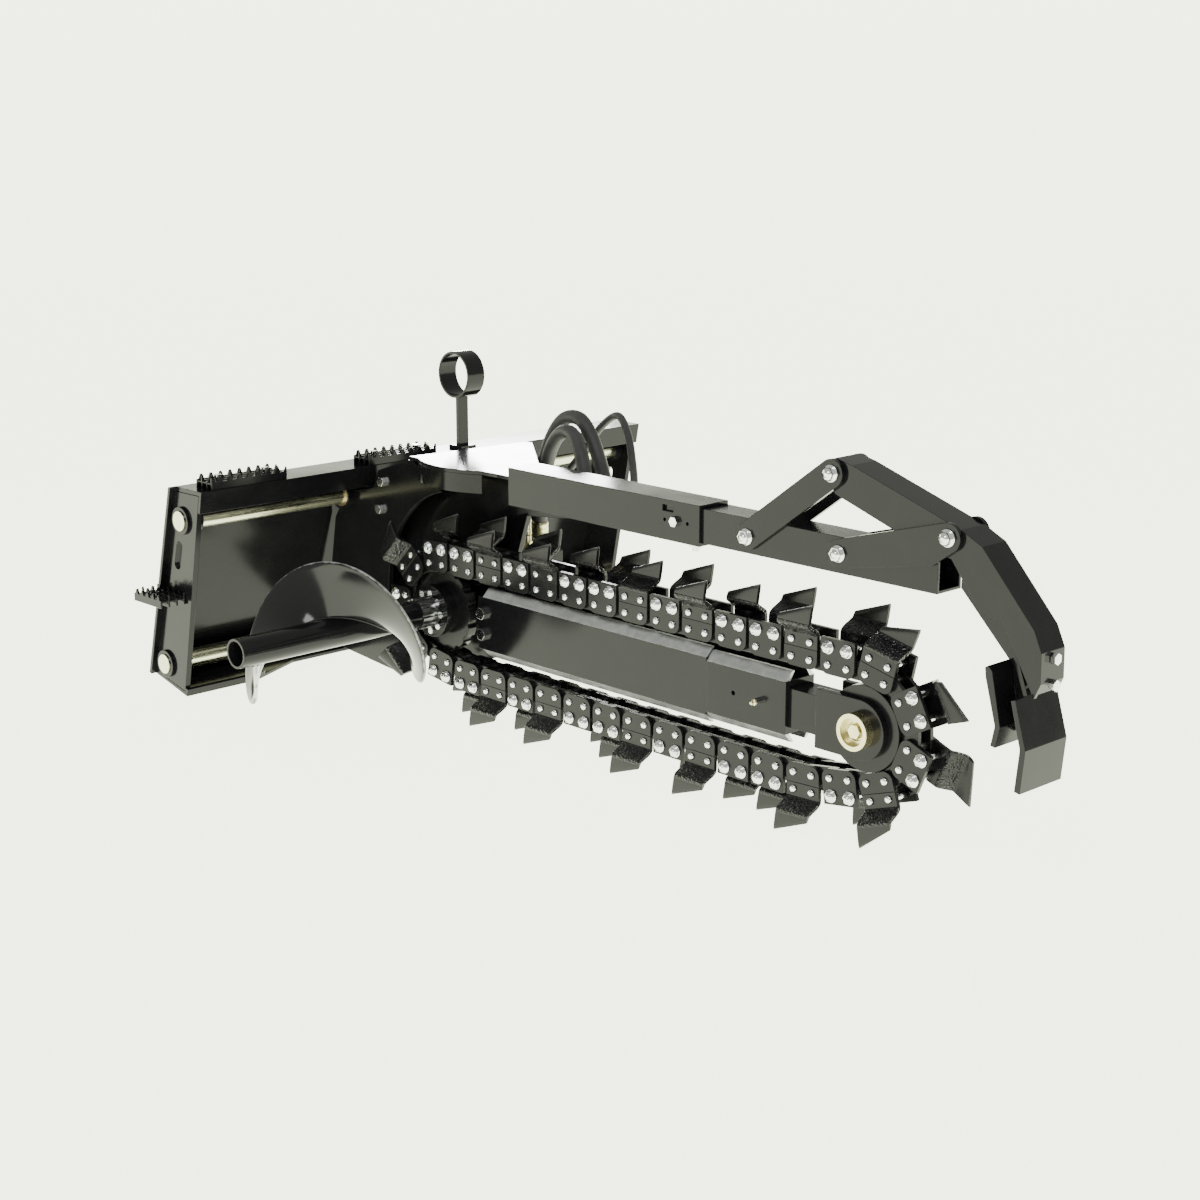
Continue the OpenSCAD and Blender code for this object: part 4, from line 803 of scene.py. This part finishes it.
# ---------------------------------------------------------------- chain tensioner's grease fitting
NIPPLE = [
    (0.0058, 0.0, 1), (0.0058, 0.0035, 1), (0.0032, 0.0038, 0), (0.0030, 0.0070, 0),
    (0.0038, 0.0082, 0), (0.0036, 0.0098, 0), (0.0016, 0.0108, 0)]
nipple_foot = np.array([1.399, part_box("boom_bolts")[0][1], -0.0354]) + [0, -NUT_GAP, 0]
add_piece("grease_fitting", *copies(*turned(NIPPLE, 24, 6), [NEAR_FACE], [nipple_foot]), "headstock",
          gold, (), "yellow_zinc")

# ---------------------------------------------------------------- camera, light and floor
camera_data = bpy.data.cameras.new("camera")
camera_data.lens = 63.8
camera_data.sensor_width = 36
camera = bpy.data.objects.new("camera", camera_data)
camera.location = (3.849, -3.008, 1.068)
camera.rotation_euler = Vector((-0.7025, 0.6688, -0.2435)).to_track_quat("-Z", "Y").to_euler()
bpy.context.scene.collection.objects.link(camera)
bpy.context.scene.camera = camera

world = bpy.data.worlds.new("studio")
world.use_nodes = True
world.node_tree.nodes["Background"].inputs["Color"].default_value = (0.93, 0.965, 0.855, 1)
world.node_tree.nodes["Background"].inputs["Strength"].default_value = 0.7
bpy.context.scene.world = world


def soft_light(name, place, target, size, power):
    """A rectangular lamp aimed at a target, unseen by the camera."""
    data = bpy.data.lights.new(name, "AREA")
    data.shape = "RECTANGLE"
    data.size, data.size_y = size
    data.energy = power
    lamp = bpy.data.objects.new(name, data)
    lamp.location = place
    lamp.visible_camera = False
    lamp.rotation_euler = (Vector(target) - Vector(place)).to_track_quat("-Z", "Y").to_euler()
    bpy.context.scene.collection.objects.link(lamp)


soft_light("cover_panel", (-1.35, 1.50, 0.72), (0.5, -0.1, 0.26), (0.7, 0.28), 26)
soft_light("key_panel", (2.6, -2.6, 3.4), (0.9, 0, 0), (1.6, 1.6), 90)

# a floor that curves up into a backdrop on a quarter circle, far behind the object
floor_z = cad_box[0][2] - 0.001
away = np.array([-0.7246, 0.6892])
beside = np.array([0.6892, 0.7246])
flat_run = [-14.0, -6.0, 0.0, 6.0]
curve_start = 12.0
curve_r = 3.0
bend = np.linspace(0, math.pi / 2, 24)
run_out = np.concatenate([flat_run, curve_start + curve_r * np.sin(bend)])
lift = np.concatenate([np.zeros(len(flat_run)), curve_r * (1 - np.cos(bend))])
span = np.linspace(-22.0, 22.0, 12)
floor_points = np.empty((len(run_out), len(span), 3))
floor_points[..., :2] = run_out[:, None, None] * away + span[None, :, None] * beside
floor_points[..., 2] = floor_z + lift[:, None]
floor_faces = grid_faces(len(run_out), len(span))[:, ::-1]
floor_mesh = bpy.data.meshes.new("floor")
floor_mesh.from_pydata(floor_points.reshape(-1, 3).tolist(), [], floor_faces.tolist())
floor_mesh.polygons.foreach_set("use_smooth", np.ones(len(floor_mesh.polygons), bool))
floor_mesh.materials.append(pale_floor())
floor = bpy.data.objects.new("floor", floor_mesh)
bpy.context.scene.collection.objects.link(floor)
